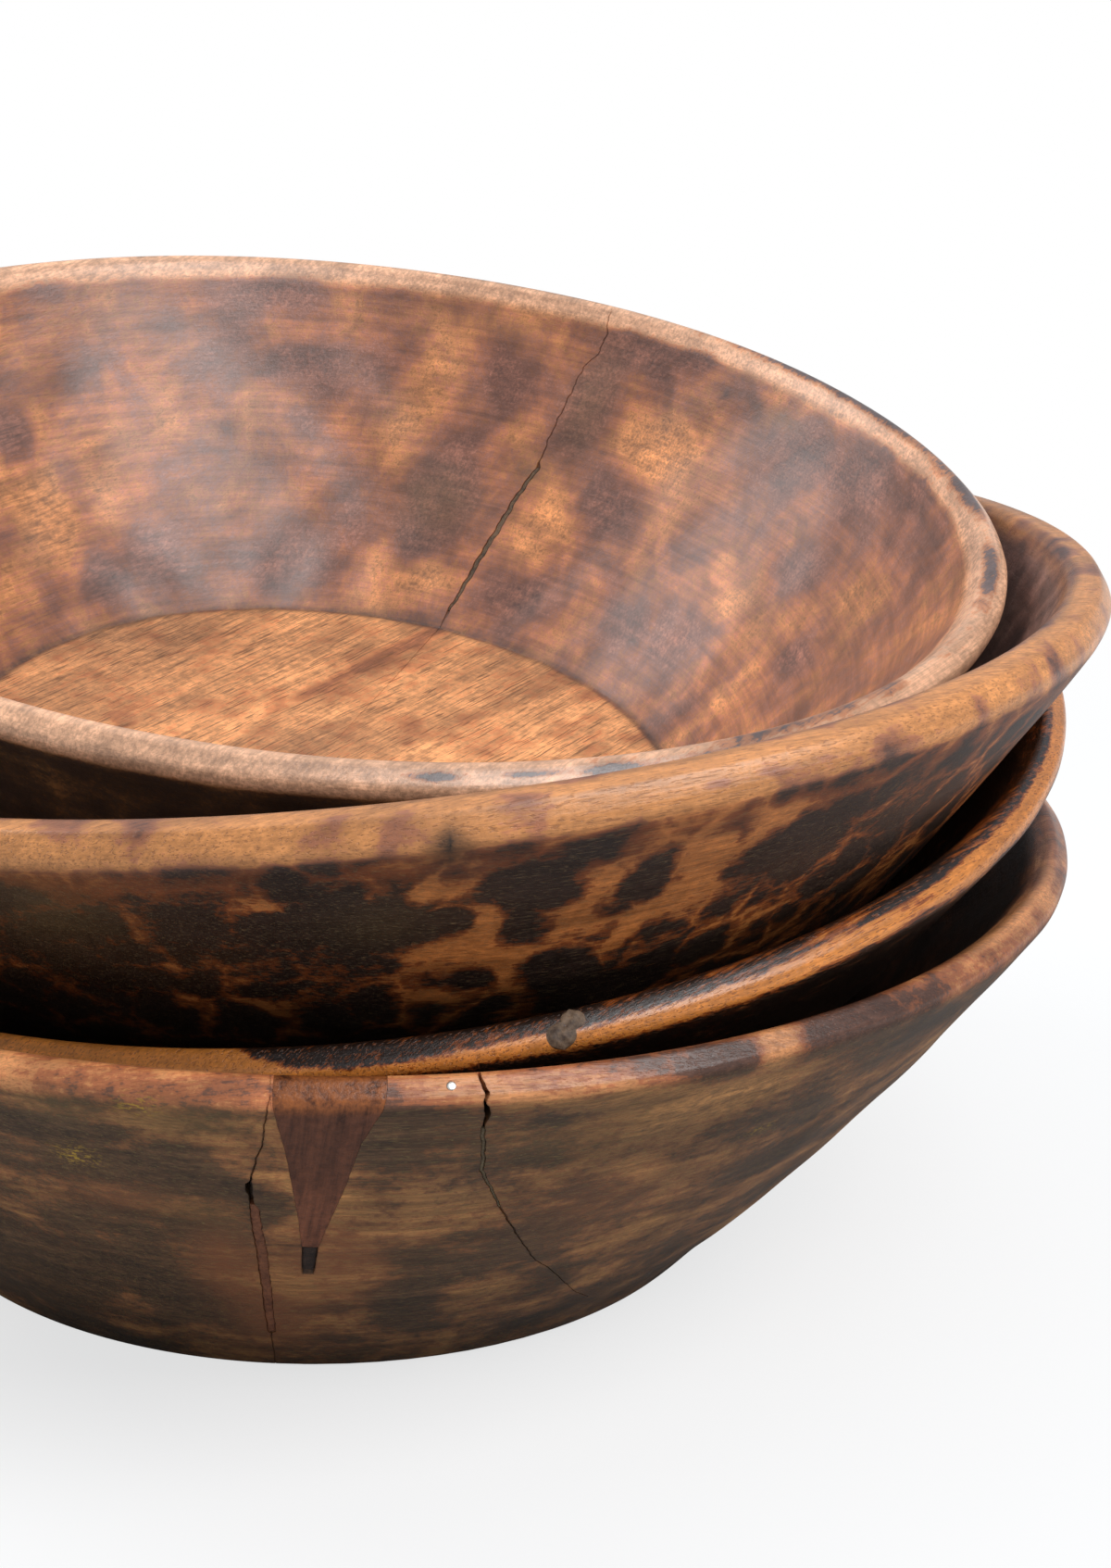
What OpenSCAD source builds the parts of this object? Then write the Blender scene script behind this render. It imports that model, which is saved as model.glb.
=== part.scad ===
// Nest of four hand-carved wooden dough bowls, standing one inside the other, with their old repairs.
// Millimetres. +Z is up, the bottom bowl stands on Z = 0 with its axis on Z, and its mended side faces -Y.

/* [Bottom bowl] */
// Radius over the outside of the lip
bottom_radius = 230; // [210:1:250]
// Height from the base to the top of the lip
bottom_height = 134; // [120:1:150]
// Half the thickness of the rounded lip
bottom_lip = 6; // [4:0.5:10]
// Radius of the flat base
bottom_base_radius = 126; // [105:1:140]
// How far the outside belly stands out from a straight cone
bottom_belly = 4; // [1:0.5:8]
// Radius of the flat floor inside
bottom_floor_radius = 102; // [85:1:115]
// Thickness of the wood under the floor
bottom_floor_thickness = 16; // [12:1:30]
// How far the inside wall is hollowed back from a straight cone
bottom_hollow = 5.5; // [1:0.5:9]

/* [Lower middle bowl] */
// Radius over the outside of the lip
lower_radius = 222; // [205:1:240]
// Height from the base to the top of the lip
lower_height = 127; // [115:1:140]
// Half the thickness of the rounded lip
lower_lip = 6.5; // [4:0.5:10]
// Radius of the flat base
lower_base_radius = 116; // [100:1:125]
// How far the outside belly stands out from a straight cone
lower_belly = 2.5; // [1:0.5:8]
// Radius of the flat floor inside
lower_floor_radius = 109; // [90:1:115]
// Thickness of the wood under the floor
lower_floor_thickness = 16; // [12:1:30]
// How far the inside wall is hollowed back from a straight cone
lower_hollow = 5.5; // [1:0.5:9]

/* [Upper middle bowl] */
// Radius over the outside of the lip
upper_radius = 225; // [205:1:240]
// Height from the base to the top of the lip
upper_height = 132; // [115:1:145]
// Half the thickness of the rounded lip
upper_lip = 8; // [5:0.5:10]
// Radius of the flat base
upper_base_radius = 112; // [95:1:120]
// How far the outside belly stands out from a straight cone
upper_belly = 3; // [1:0.5:8]
// Radius of the flat floor inside
upper_floor_radius = 103; // [85:1:110]
// Thickness of the wood under the floor
upper_floor_thickness = 16; // [12:1:30]
// How far the inside wall is hollowed back from a straight cone
upper_hollow = 6; // [1:0.5:9]

/* [Top bowl] */
// Radius over the outside of the lip
top_radius = 204; // [185:1:220]
// Height from the base to the top of the lip
top_height = 128; // [110:1:140]
// Half the thickness of the rounded lip
top_lip = 6.3; // [4:0.1:10]
// Radius of the flat base
top_base_radius = 111; // [95:1:125]
// How far the outside belly stands out from a straight cone
top_belly = 3; // [1:0.5:8]
// Radius of the flat floor inside
top_floor_radius = 114; // [95:1:125]
// Thickness of the wood under the floor
top_floor_thickness = 27; // [14:1:40]
// How far the inside wall is hollowed back from a straight cone
top_hollow = 5; // [1:0.5:9]

/* [Wear] */
// Radius of the worn edge around each flat base
base_round = 3; // [1:0.5:6]

/* [Nesting] */
// Height left between a bowl and the first point it rests on
seat_gap = 0.4; // [0.2:0.1:1]
// Lower middle bowl: shift to the right inside the bottom bowl
lower_shift_x = 18.5; // [-30:0.5:30]
// Lower middle bowl: shift to the back inside the bottom bowl
lower_shift_y = 24; // [-50:0.5:50]
// Lower middle bowl: lean towards the front
lower_lean_x = 6.8; // [-15:0.1:15]
// Lower middle bowl: lean towards the right
lower_lean_y = -5.4; // [-15:0.1:15]
// Upper middle bowl: shift to the right inside the lower middle bowl
upper_shift_x = 7; // [-30:0.5:30]
// Upper middle bowl: shift to the back inside the lower middle bowl
upper_shift_y = -37; // [-50:0.5:50]
// Upper middle bowl: lean towards the front
upper_lean_x = -9; // [-15:0.1:15]
// Upper middle bowl: lean towards the right
upper_lean_y = -0.7; // [-15:0.1:15]
// Top bowl: shift to the right inside the upper middle bowl
top_shift_x = -21; // [-30:0.5:30]
// Top bowl: shift to the back inside the upper middle bowl
top_shift_y = 48; // [-50:0.5:50]
// Top bowl: lean towards the front
top_lean_x = 11.4; // [-15:0.1:15]
// Top bowl: lean towards the right
top_lean_y = 9.8; // [-15:0.1:15]

/* [Let-in patch] */
// Direction of the patch's tip around the bottom bowl, from +X
patch_azimuth = -90.7; // [-180:0.1:180]
// Width across the lip
patch_top_width = 28.5; // [15:0.5:45]
// Width at the tip
patch_tip_width = 4; // [2:0.5:10]
// Length down the wall from the lip to the tip
patch_length = 78; // [40:1:100]
// How far the top leans sideways from straight above the tip
patch_slant = 4.5; // [-15:0.5:15]
// Length of the filled saw cut below the tip
kerf_length = 14; // [6:0.5:25]
// Depth of the filled saw cut
kerf_depth = 8; // [4:0.5:12]

/* [Filled cracks] */
// Direction of the long seam around the bottom bowl, from +X
seam_azimuth = -95; // [-180:0.1:180]
// Width of the long seam's filler
seam_width = 3.3; // [2:0.1:6]
// Height above the base where the seam's filler starts
seam_low = 20; // [10:1:40]
// Height above the base where the seam's filler ends
seam_high = 88; // [50:1:105]
// How far the seam drifts sideways from its low to its high end
seam_drift = 1.5; // [-10:0.5:10]
// Depth of the seam's filler
seam_depth = 6; // [3:0.5:10]
// Direction of the split at the lip around the bottom bowl, from +X
split_azimuth = -79.9; // [-180:0.1:180]
// Width of the split, open at the lip and filled below
split_width = 1.6; // [1:0.1:3]
// Length of the open split down from the lip
split_open = 14; // [6:1:30]
// Length of the filled split below the open one
split_filled = 38; // [15:1:60]
// How far the filled split drifts sideways on its way down
split_drift = 6; // [-15:0.5:15]
// Depth of the split's filler
split_depth = 8; // [3:0.5:10]
// Direction of the crack around the inside of the top bowl, from +X
crack_azimuth = 65.4; // [-180:0.1:180]
// Width of the crack's filler
crack_width = 2.4; // [1.5:0.1:5]
// Height above the base where the crack's filler starts
crack_low = 32; // [28:1:60]
// Height above the base where the crack's filler ends
crack_high = 76; // [50:1:110]
// How far the crack drifts sideways from its low to its high end
crack_drift = -13; // [-20:0.5:20]
// Depth of the crack's filler
crack_depth = 5; // [3:0.5:8]

/* [Pin and knot] */
// Direction of the pin around the bottom bowl's lip, from +X
pin_azimuth = -82; // [-180:0.1:180]
// Where the pin enters the lip, as an angle up from its outer side
pin_rise = 48; // [10:1:90]
// Diameter of the pin
pin_d = 2.4; // [1.5:0.1:4]
// Length of the pin
pin_length = 11; // [6:0.5:11]
// How far the pin's end stands out of the wood
pin_proud = 0.3; // [0:0.1:1]
// Direction of the filled knot around the lower middle bowl's lip, from +X
knot_azimuth = -75.7; // [-180:0.1:180]
// Where the knot sits on the lip, as an angle up from its outer side
knot_rise = 38; // [0:1:90]
// Radius of the knot's larger lobe
knot_big_r = 4.6; // [2:0.1:6]
// Radius of the knot's smaller lobe
knot_small_r = 3.6; // [2:0.1:6]
// Distance between the lobes' centres
knot_spacing = 5; // [2:0.5:8]
// Depth of the knot's filler
knot_depth = 5; // [3:0.5:8]

/* [Fits] */
// Glue line or clearance between a repair and the wood around it
repair_gap = 0.3; // [0.1:0.05:0.6]

/* [Hidden] */
$fn = 240;
// Sides of the large circles that the walls' arcs are part of
arc_fn = 900;
// Sides of small rounds
round_fn = 48;

// One row of sizes per bowl: radius, height, lip, base radius, belly, floor radius, floor thickness, hollow
bottom = [
    bottom_radius, bottom_height, bottom_lip, bottom_base_radius,
    bottom_belly, bottom_floor_radius, bottom_floor_thickness, bottom_hollow,
];
lower = [
    lower_radius, lower_height, lower_lip, lower_base_radius,
    lower_belly, lower_floor_radius, lower_floor_thickness, lower_hollow,
];
upper = [
    upper_radius, upper_height, upper_lip, upper_base_radius,
    upper_belly, upper_floor_radius, upper_floor_thickness, upper_hollow,
];
top = [
    top_radius, top_height, top_lip, top_base_radius,
    top_belly, top_floor_radius, top_floor_thickness, top_hollow,
];

// Steps used to find where two bowls first touch
seat_turn = 5;
seat_steps = 120;
lip_steps = 24;
round_steps = 8;
// Direction straight up, and straight down, in a cross-section
upright = 90;
// Depth that stands for no wood at all under a point
nowhere = -1000;
// A cutter reaches this far past the surface it starts from, and this far through a wall
cut_over = 20;
cut_through = 40;
// Two cutters that meet run this far into each other
cut_join = 1;

wood_bottom = [0.36, 0.24, 0.17];
wood_patch = [0.38, 0.17, 0.11];
wood_lower = [0.62, 0.36, 0.18];
wood_upper = [0.40, 0.25, 0.14];
wood_top = [0.60, 0.36, 0.20];
filler_dark = [0.12, 0.10, 0.09];
filler_red = [0.42, 0.22, 0.14];
filler_grey = [0.40, 0.38, 0.31];
putty = [0.47, 0.38, 0.29];
steel = [0.85, 0.85, 0.84];

// Sizes of one bowl by name
function radius(b) = b[0];
function height(b) = b[1];
function lip(b) = b[2];
function base_edge(b) = [b[3], 0];
function belly(b) = b[4];
function floor_edge(b) = [b[5], b[6]];
function hollow(b) = b[7];
function lip_centre(b) = [radius(b) - lip(b), height(b) - lip(b)];

function unit(v) = v / norm(v);
function left_of(v) = [-v[1], v[0]];
function heading(v) = atan2(v[1], v[0]);
function along(angle) = [cos(angle), sin(angle)];

// Radius of an arc over a chord with the given rise
function arc_radius(p, q, rise) = pow(norm(q - p), 2) / (8 * rise);

// Crossing of two circles, on the left of the line from the first centre to the second
function crossing(c1, r1, c2, r2) =
    let (d = norm(c2 - c1))
    let (a = (d * d + r1 * r1 - r2 * r2) / (2 * d))
    c1 + a * unit(c2 - c1) + sqrt(r1 * r1 - a * a) * left_of(unit(c2 - c1));

// The outside wall is one arc from the base's edge, and runs smoothly into the lip
function outer_r(b) = arc_radius(base_edge(b), lip_centre(b), belly(b));
function outer_c(b) = crossing(base_edge(b), outer_r(b), lip_centre(b), outer_r(b) - lip(b));
function outer_touch(b) = lip_centre(b) + lip(b) * unit(lip_centre(b) - outer_c(b));

// The worn edge of the base is a small arc that runs smoothly into the flat and the outside wall
function edge_c(b) =
    let (up = base_round - outer_c(b)[1])
    [outer_c(b)[0] + sqrt(pow(outer_r(b) - base_round, 2) - up * up), base_round];
function edge_touch(b) = edge_c(b) + base_round * unit(edge_c(b) - outer_c(b));

// The inside wall is one arc from the floor's edge, and runs smoothly into the lip
function inner_r(b) = arc_radius(floor_edge(b), lip_centre(b), hollow(b));
function inner_c(b) = crossing(floor_edge(b), inner_r(b), lip_centre(b), inner_r(b) + lip(b));
function inner_touch(b) = lip_centre(b) + lip(b) * unit(inner_c(b) - lip_centre(b));

// A point beyond the arc, so that chord and point make a triangle around all of it
function beyond(p, q, rise) = (p + q) / 2 - 4 * rise * left_of(unit(q - p));

// Point on an arc around c from p, where it reaches height z
function at_height(c, r, z) = [c[0] + sqrt(r * r - pow(z - c[1], 2)), z];

// Height of a bowl's upper side at a distance from its axis
function upper_side(b, r) =
    r < floor_edge(b)[0] ? floor_edge(b)[1]
    : r < inner_touch(b)[0] ? inner_c(b)[1] - sqrt(pow(inner_r(b), 2) - pow(r - inner_c(b)[0], 2))
    : r < radius(b) ? lip_centre(b)[1] + sqrt(pow(lip(b), 2) - pow(r - lip_centre(b)[0], 2))
    : nowhere;

// Points along an arc between two directions
function arc(c, r, from, to, steps) = [for (i = [0:steps]) c + r * along(from + (to - from) * i / steps)];

// Points up a bowl's outside, from the flat base to the top of the lip
function outside(b) =
    let (low = heading(edge_touch(b) - outer_c(b)))
    let (high = heading(outer_touch(b) - outer_c(b)))
    concat(
        arc(edge_c(b), base_round, -upright, low, round_steps),
        arc(outer_c(b), outer_r(b), low, high, seat_steps),
        arc(lip_centre(b), lip(b), high, upright, lip_steps)
    );

// A point after a lean to the right and then to the front
function leaned(p, lean_x, lean_y) =
    let (q = [p[0] * cos(lean_y) + p[2] * sin(lean_y), p[1], p[2] * cos(lean_y) - p[0] * sin(lean_y)])
    [q[0], q[1] * cos(lean_x) - q[2] * sin(lean_x), q[1] * sin(lean_x) + q[2] * cos(lean_x)];

// How high a shifted and leaning bowl stands in the bowl below when it first touches
function seat(above, below, shift, lean_x, lean_y) = seat_gap + max([
    for (p = outside(above))
        for (turn = [0:seat_turn:360 - seat_turn])
            let (q = leaned([p[0] * cos(turn), p[0] * sin(turn), p[1]], lean_x, lean_y))
            upper_side(below, norm([q[0] + shift[0], q[1] + shift[1]])) - q[2]
]);

lower_seat = seat(lower, bottom, [lower_shift_x, lower_shift_y], lower_lean_x, lower_lean_y);
upper_seat = seat(upper, lower, [upper_shift_x, upper_shift_y], upper_lean_x, upper_lean_y);
top_seat = seat(top, upper, [top_shift_x, top_shift_y], top_lean_x, top_lean_y);

// Half of a bowl's cross-section
module section(b) {
    difference() {
        union() {
            polygon([
                [0, 0],
                base_edge(b),
                outer_touch(b),
                lip_centre(b),
                inner_touch(b),
                floor_edge(b),
                [0, floor_edge(b)[1]],
            ]);
            intersection() {
                translate(outer_c(b))
                    circle(r = outer_r(b), $fn = arc_fn);
                polygon([base_edge(b), beyond(base_edge(b), outer_touch(b), belly(b)), outer_touch(b)]);
            }
        }
        intersection() {
            translate(inner_c(b))
                circle(r = inner_r(b), $fn = arc_fn);
            polygon([floor_edge(b), beyond(floor_edge(b), inner_touch(b), hollow(b)), inner_touch(b)]);
        }
        difference() {
            polygon([
                edge_c(b),
                edge_c(b) - [0, 2 * base_round],
                edge_c(b) + 2 * (edge_touch(b) - edge_c(b)),
            ]);
            translate(edge_c(b))
                circle(r = base_round, $fn = round_fn);
        }
    }
    intersection() {
        translate(lip_centre(b))
            circle(r = lip(b), $fn = round_fn);
        polygon([
            lip_centre(b),
            lip_centre(b) + 2 * (outer_touch(b) - lip_centre(b)),
            [radius(b) + lip(b), height(b) + lip(b)],
            [radius(b) - 3 * lip(b), height(b) + lip(b)],
            lip_centre(b) + 2 * (inner_touch(b) - lip_centre(b)),
        ]);
    }
}

// A whole bowl before any repair
module carved(b) {
    rotate_extrude()
        section(b);
}

// Places its children in a wall: X out of the wood, Y around the bowl, Z up the slope
module in_wall(azimuth, point, slope) {
    rotate([0, 0, azimuth])
        translate([point[0], 0, point[1]])
            rotate([0, -slope, 0])
                children();
}

// A straight-sided pocket shape with the given outline, from depth below a wall's face to past it
module pocket(outline, depth, over) {
    translate([-depth, 0, 0])
        rotate([90, 0, 90])
            linear_extrude(depth + over)
                polygon(outline);
}

// Outline of a strip of even width, slanting from a low to a high point, pulled in by a gap
function strip(low, high, width, gap) =
    let (half = width / 2 - gap)
    let (up = unit(high - low))
    [
        low + gap * up - half * left_of(up),
        high - gap * up - half * left_of(up),
        high - gap * up + half * left_of(up),
        low + gap * up + half * left_of(up),
    ];

// Where the patch's tip lies on the outside of the bottom bowl
patch_rise = unit(outer_touch(bottom) - base_edge(bottom));
patch_tip = at_height(outer_c(bottom), outer_r(bottom), bottom_height - patch_length * patch_rise[1]);
patch_slope = heading(patch_tip - outer_c(bottom));

// Half width and sideways place of the patch at a distance up from its tip
function patch_half(up) = (patch_tip_width + (patch_top_width - patch_tip_width) * up / patch_length) / 2;
function patch_middle(up) = patch_slant * up / patch_length;

module patch_cutter(gap) {
    end = patch_length + cut_over;
    in_wall(patch_azimuth, patch_tip, patch_slope)
        pocket([
            [patch_middle(gap) - patch_half(gap) + gap, gap],
            [patch_middle(gap) + patch_half(gap) - gap, gap],
            [patch_middle(end) + patch_half(end) - gap, end],
            [patch_middle(end) - patch_half(end) + gap, end],
        ], cut_through, cut_over);
}

module kerf_cutter(gap, join) {
    in_wall(patch_azimuth, patch_tip, patch_slope)
        pocket(strip([0, -kerf_length], [0, join], patch_tip_width, gap), kerf_depth - gap, cut_over);
}

// A filled strip on a wall, between two heights above the base
module strip_cutter(azimuth, centre, r, low, high, drift, width, depth, over, gap) {
    middle = at_height(centre, r, (low + high) / 2);
    reach = norm(at_height(centre, r, high) - at_height(centre, r, low)) / 2;
    in_wall(azimuth, middle, heading(middle - centre))
        pocket(strip([-drift / 2, -reach], [drift / 2, reach], width, gap), depth, over);
}

module seam_cutter(gap) {
    strip_cutter(
        seam_azimuth, outer_c(bottom), outer_r(bottom), seam_low, seam_high,
        seam_drift, seam_width, seam_depth - gap, cut_over, gap
    );
}

// Point on the outside of the bottom bowl, level with the middle of the lip, where the split starts
split_start = outer_touch(bottom);
split_slope = heading(split_start - outer_c(bottom));

module open_split_cutter() {
    in_wall(split_azimuth, split_start, split_slope)
        pocket(strip([0, -split_open], [0, cut_over], split_width, 0), cut_through, cut_over);
}

module filled_split_cutter(gap, join) {
    half = (split_width - gap) / 2;
    low = -split_open - split_filled + gap;
    high = -split_open - gap;
    in_wall(split_azimuth, split_start, split_slope)
        pocket([
            [split_drift - half, low],
            [split_drift + half, low],
            [half, high],
            [half, high + join],
            [-half, high + join],
            [-half, high],
        ], split_depth - gap, cut_over);
}

// The crack opens into the hollow, so its cutter starts inside the wood and runs inwards
module crack_cutter(gap) {
    strip_cutter(
        crack_azimuth, inner_c(top), inner_r(top), crack_low, crack_high,
        crack_drift, crack_width, cut_over, crack_depth - gap, gap
    );
}

// Places its children on a lip: Z out of the wood, X around the bowl
module on_lip(b, azimuth, rise) {
    rotate([0, 0, azimuth])
        translate([lip_centre(b)[0] + lip(b) * cos(rise), 0, lip_centre(b)[1] + lip(b) * sin(rise)])
            rotate([0, 90 - rise, 0])
                children();
}

module pin_shape(gap, proud) {
    on_lip(bottom, pin_azimuth, pin_rise)
        translate([0, 0, -pin_length - gap])
            cylinder(d = pin_d + 2 * gap, h = pin_length + gap + proud, $fn = round_fn);
}

module knot_lobe(r, gap) {
    translate([0, 0, gap - knot_depth])
        cylinder(r = r - gap, h = knot_depth - gap + cut_over, $fn = round_fn);
}

module knot_cutter(gap) {
    on_lip(lower, knot_azimuth, knot_rise) {
        translate([0, -knot_spacing / 2, 0])
            knot_lobe(knot_small_r, gap);
        translate([0, knot_spacing / 2, 0])
            knot_lobe(knot_big_r, gap);
    }
}

// Places its children as one bowl stands in the bowl below
module stand(shift_x, shift_y, seat_z, lean_x, lean_y) {
    translate([shift_x, shift_y, seat_z])
        rotate([lean_x, 0, 0])
            rotate([0, lean_y, 0])
                children();
}

module in_lower() {
    stand(lower_shift_x, lower_shift_y, lower_seat, lower_lean_x, lower_lean_y)
        children();
}

module in_upper() {
    in_lower()
        stand(upper_shift_x, upper_shift_y, upper_seat, upper_lean_x, upper_lean_y)
            children();
}

module in_top() {
    in_upper()
        stand(top_shift_x, top_shift_y, top_seat, top_lean_x, top_lean_y)
            children();
}

module bottom_bowl() {
    color(wood_bottom)
        difference() {
            carved(bottom);
            patch_cutter(0);
            kerf_cutter(0, cut_join);
            seam_cutter(0);
            open_split_cutter();
            filled_split_cutter(0, cut_join);
            pin_shape(repair_gap, cut_over);
        }
}

module rim_patch() {
    color(wood_patch)
        intersection() {
            carved(bottom);
            patch_cutter(repair_gap);
        }
}

module patch_kerf_filler() {
    color(filler_dark)
        intersection() {
            carved(bottom);
            kerf_cutter(repair_gap, 0);
        }
}

module seam_filler() {
    color(filler_red)
        intersection() {
            carved(bottom);
            seam_cutter(repair_gap);
        }
}

module split_filler() {
    color(filler_grey)
        intersection() {
            carved(bottom);
            filled_split_cutter(repair_gap, 0);
        }
}

module rim_pin() {
    color(steel)
        pin_shape(0, pin_proud);
}

module lower_bowl() {
    color(wood_lower)
        in_lower()
            difference() {
                carved(lower);
                knot_cutter(0);
            }
}

module knot_filler() {
    color(putty)
        in_lower()
            intersection() {
                carved(lower);
                knot_cutter(repair_gap);
            }
}

module upper_bowl() {
    color(wood_upper)
        in_upper()
            carved(upper);
}

module top_bowl() {
    color(wood_top)
        in_top()
            difference() {
                carved(top);
                crack_cutter(0);
            }
}

module crack_filler() {
    color(filler_dark)
        in_top()
            intersection() {
                carved(top);
                crack_cutter(repair_gap);
            }
}

bottom_bowl();
rim_patch();
patch_kerf_filler();
seam_filler();
split_filler();
rim_pin();
lower_bowl();
knot_filler();
upper_bowl();
top_bowl();
crack_filler();
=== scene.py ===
"""Nest of four hand-carved wooden dough bowls with their old repairs.

Each bowl is one cross-section carried round an upright axis and then worn by hand: waves around and
along the section push the surface into the wood by up to a few millimetres, and cracks and pockets
push it in further. The repairs are slabs that follow the same worn surface. Lengths are in
millimetres until a mesh is made, and azimuths are degrees from +X, with -90 towards the camera.
"""

import logging
import math
from dataclasses import dataclass, field
from enum import Enum
from typing import Any

import bpy
import numpy as np
import numpy.typing as npt
from mathutils import Matrix, Vector


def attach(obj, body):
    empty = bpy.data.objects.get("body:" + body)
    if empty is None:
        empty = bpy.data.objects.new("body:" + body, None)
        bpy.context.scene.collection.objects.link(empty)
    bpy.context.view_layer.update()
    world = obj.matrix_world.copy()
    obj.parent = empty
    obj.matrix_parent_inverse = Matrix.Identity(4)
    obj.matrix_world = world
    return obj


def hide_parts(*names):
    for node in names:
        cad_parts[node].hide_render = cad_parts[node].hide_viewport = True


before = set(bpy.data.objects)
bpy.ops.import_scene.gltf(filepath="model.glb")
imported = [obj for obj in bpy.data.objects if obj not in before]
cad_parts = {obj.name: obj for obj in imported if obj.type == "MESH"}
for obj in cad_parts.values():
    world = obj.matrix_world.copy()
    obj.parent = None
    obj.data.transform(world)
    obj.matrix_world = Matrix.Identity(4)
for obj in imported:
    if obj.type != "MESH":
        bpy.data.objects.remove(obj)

Array = npt.NDArray[np.float64]
LOG = logging.getLogger("dough_bowls")
MM = 0.001
# Edges that turn by more than this stay sharp, in degrees
SHARP = 50
# The phase of a wave is drawn between nothing and about a full turn, in radians
PHASE = 6.3
# Room in which the edges of a flat on the lip run out, in millimetres
FLAT_EASE = 0.6
# Radius in millimetres at which the clouds of stain are wrapped around a bowl
WRAP = 200
# Marks narrower than this along the section get rows of their own, in millimetres
FINE_MARK = 1.5
# How plain oiled wood and filler bend and throw back light
SATIN = {"IOR": 1.5, "Specular IOR Level": 0.4}


class Side(Enum):
    """The two faces of a bowl's wall."""

    OUTSIDE = "outside"
    INSIDE = "inside"


def linear(colour: str) -> tuple[float, float, float, float]:
    """Turns an sRGB hex colour to linear light.

    Args:
        colour: Six hex digits, with or without a leading hash.

    Returns:
        Linear red, green and blue, and an alpha of one.
    """
    digits = colour.lstrip("#")
    srgb = np.array([int(digits[i : i + 2], 16) for i in (0, 2, 4)]) / 255
    light = np.where(srgb <= 0.04045, srgb / 12.92, ((srgb + 0.055) / 1.055) ** 2.4)
    return float(light[0]), float(light[1]), float(light[2]), 1.0


def smooth(low: float, high: float, values: Array) -> Array:
    """A smooth step: 0 up to low, 1 from high, and a cubic between.

    Args:
        low: Where the step starts.
        high: Where it ends; it may lie below low for a falling step.
        values: Where to take it.

    Returns:
        The step's height at each value.
    """
    t = np.clip((values - low) / (high - low), 0, 1)
    return t * t * (3 - 2 * t)


def bell(values: Array, centre: float, width: float) -> Array:
    """A bell curve of height one with the given centre and width."""
    return np.exp(-(((values - centre) / width) ** 2))


def mesh_object(name: str, points: Array, faces: list[Array]) -> bpy.types.Object:
    """Makes an object from points and groups of faces.

    Args:
        name: Name of the object.
        points: Points in the row frame, in millimetres, one per row.
        faces: Arrays of corner numbers; all faces of one array have as many corners.

    Returns:
        The object at the origin, smooth shaded, linked to the scene.
    """
    mesh = bpy.data.meshes.new(name)
    polygons = [face for group in faces for face in group.tolist()]
    mesh.from_pydata((points * MM).tolist(), [], polygons)
    mesh.polygons.foreach_set("use_smooth", np.ones(len(polygons), bool))
    mesh.set_sharp_from_angle(angle=math.radians(SHARP))
    mesh.update()
    made = bpy.data.objects.new(name, mesh)
    bpy.context.scene.collection.objects.link(made)
    return made


def paint(made: bpy.types.Object, fields: dict[str, Array]) -> None:
    """Stores numbers or vectors per point on a mesh for its material to read.

    Args:
        made: The object.
        fields: One array per attribute, with a row or a number per point.
    """
    for name, values in fields.items():
        kind = "FLOAT_VECTOR" if values.ndim == 2 else "FLOAT"
        layer = made.data.attributes.new(name, kind, "POINT")
        key = "vector" if values.ndim == 2 else "value"
        layer.data.foreach_set(key, np.ascontiguousarray(values, np.float32).ravel())


def capped_faces(rows: int, columns: int) -> list[Array]:
    """Faces of a grid that closes on itself around its columns, with a pole past each end.

    Args:
        rows: Number of rings.
        columns: Points in each ring.

    Returns:
        Quads between the rings and triangles to the two poles, whose numbers follow those of the grid,
        facing out where rows go up and columns turn left.
    """
    number = np.arange(rows * columns).reshape(rows, columns)
    after = np.roll(number, -1, axis=1)
    quads = np.stack([number[:-1], after[:-1], after[1:], number[1:]], -1).reshape(-1, 4)
    first, last = (np.full(columns, rows * columns + pole) for pole in (0, 1))
    start = np.stack([first, after[0], number[0]], -1)
    end = np.stack([last, number[-1], after[-1]], -1)
    return [quads, start, end]


def slab(name: str, top: Array, bottom: Array) -> bpy.types.Object:
    """Makes a closed slab between two grids of the same size.

    Args:
        name: Name of the object.
        top: The outer face, rows by columns by 3.
        bottom: The inner face.

    Returns:
        The object, with its rim closed by one strip of quads.
    """
    rows, columns = top.shape[:2]
    number = np.arange(rows * columns).reshape(rows, columns)
    quads = np.stack([number[:-1, :-1], number[:-1, 1:], number[1:, 1:], number[1:, :-1]], -1).reshape(-1, 4)
    rim = np.concatenate([number[0, :-1], number[:-1, -1], number[-1, :0:-1], number[:0:-1, 0]])
    after = np.roll(rim, -1)
    low = rows * columns
    sides = np.stack([rim, rim + low, after + low, after], -1)
    points = np.concatenate([top.reshape(-1, 3), bottom.reshape(-1, 3)])
    return mesh_object(name, points, [quads, quads[:, ::-1] + low, sides])


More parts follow.
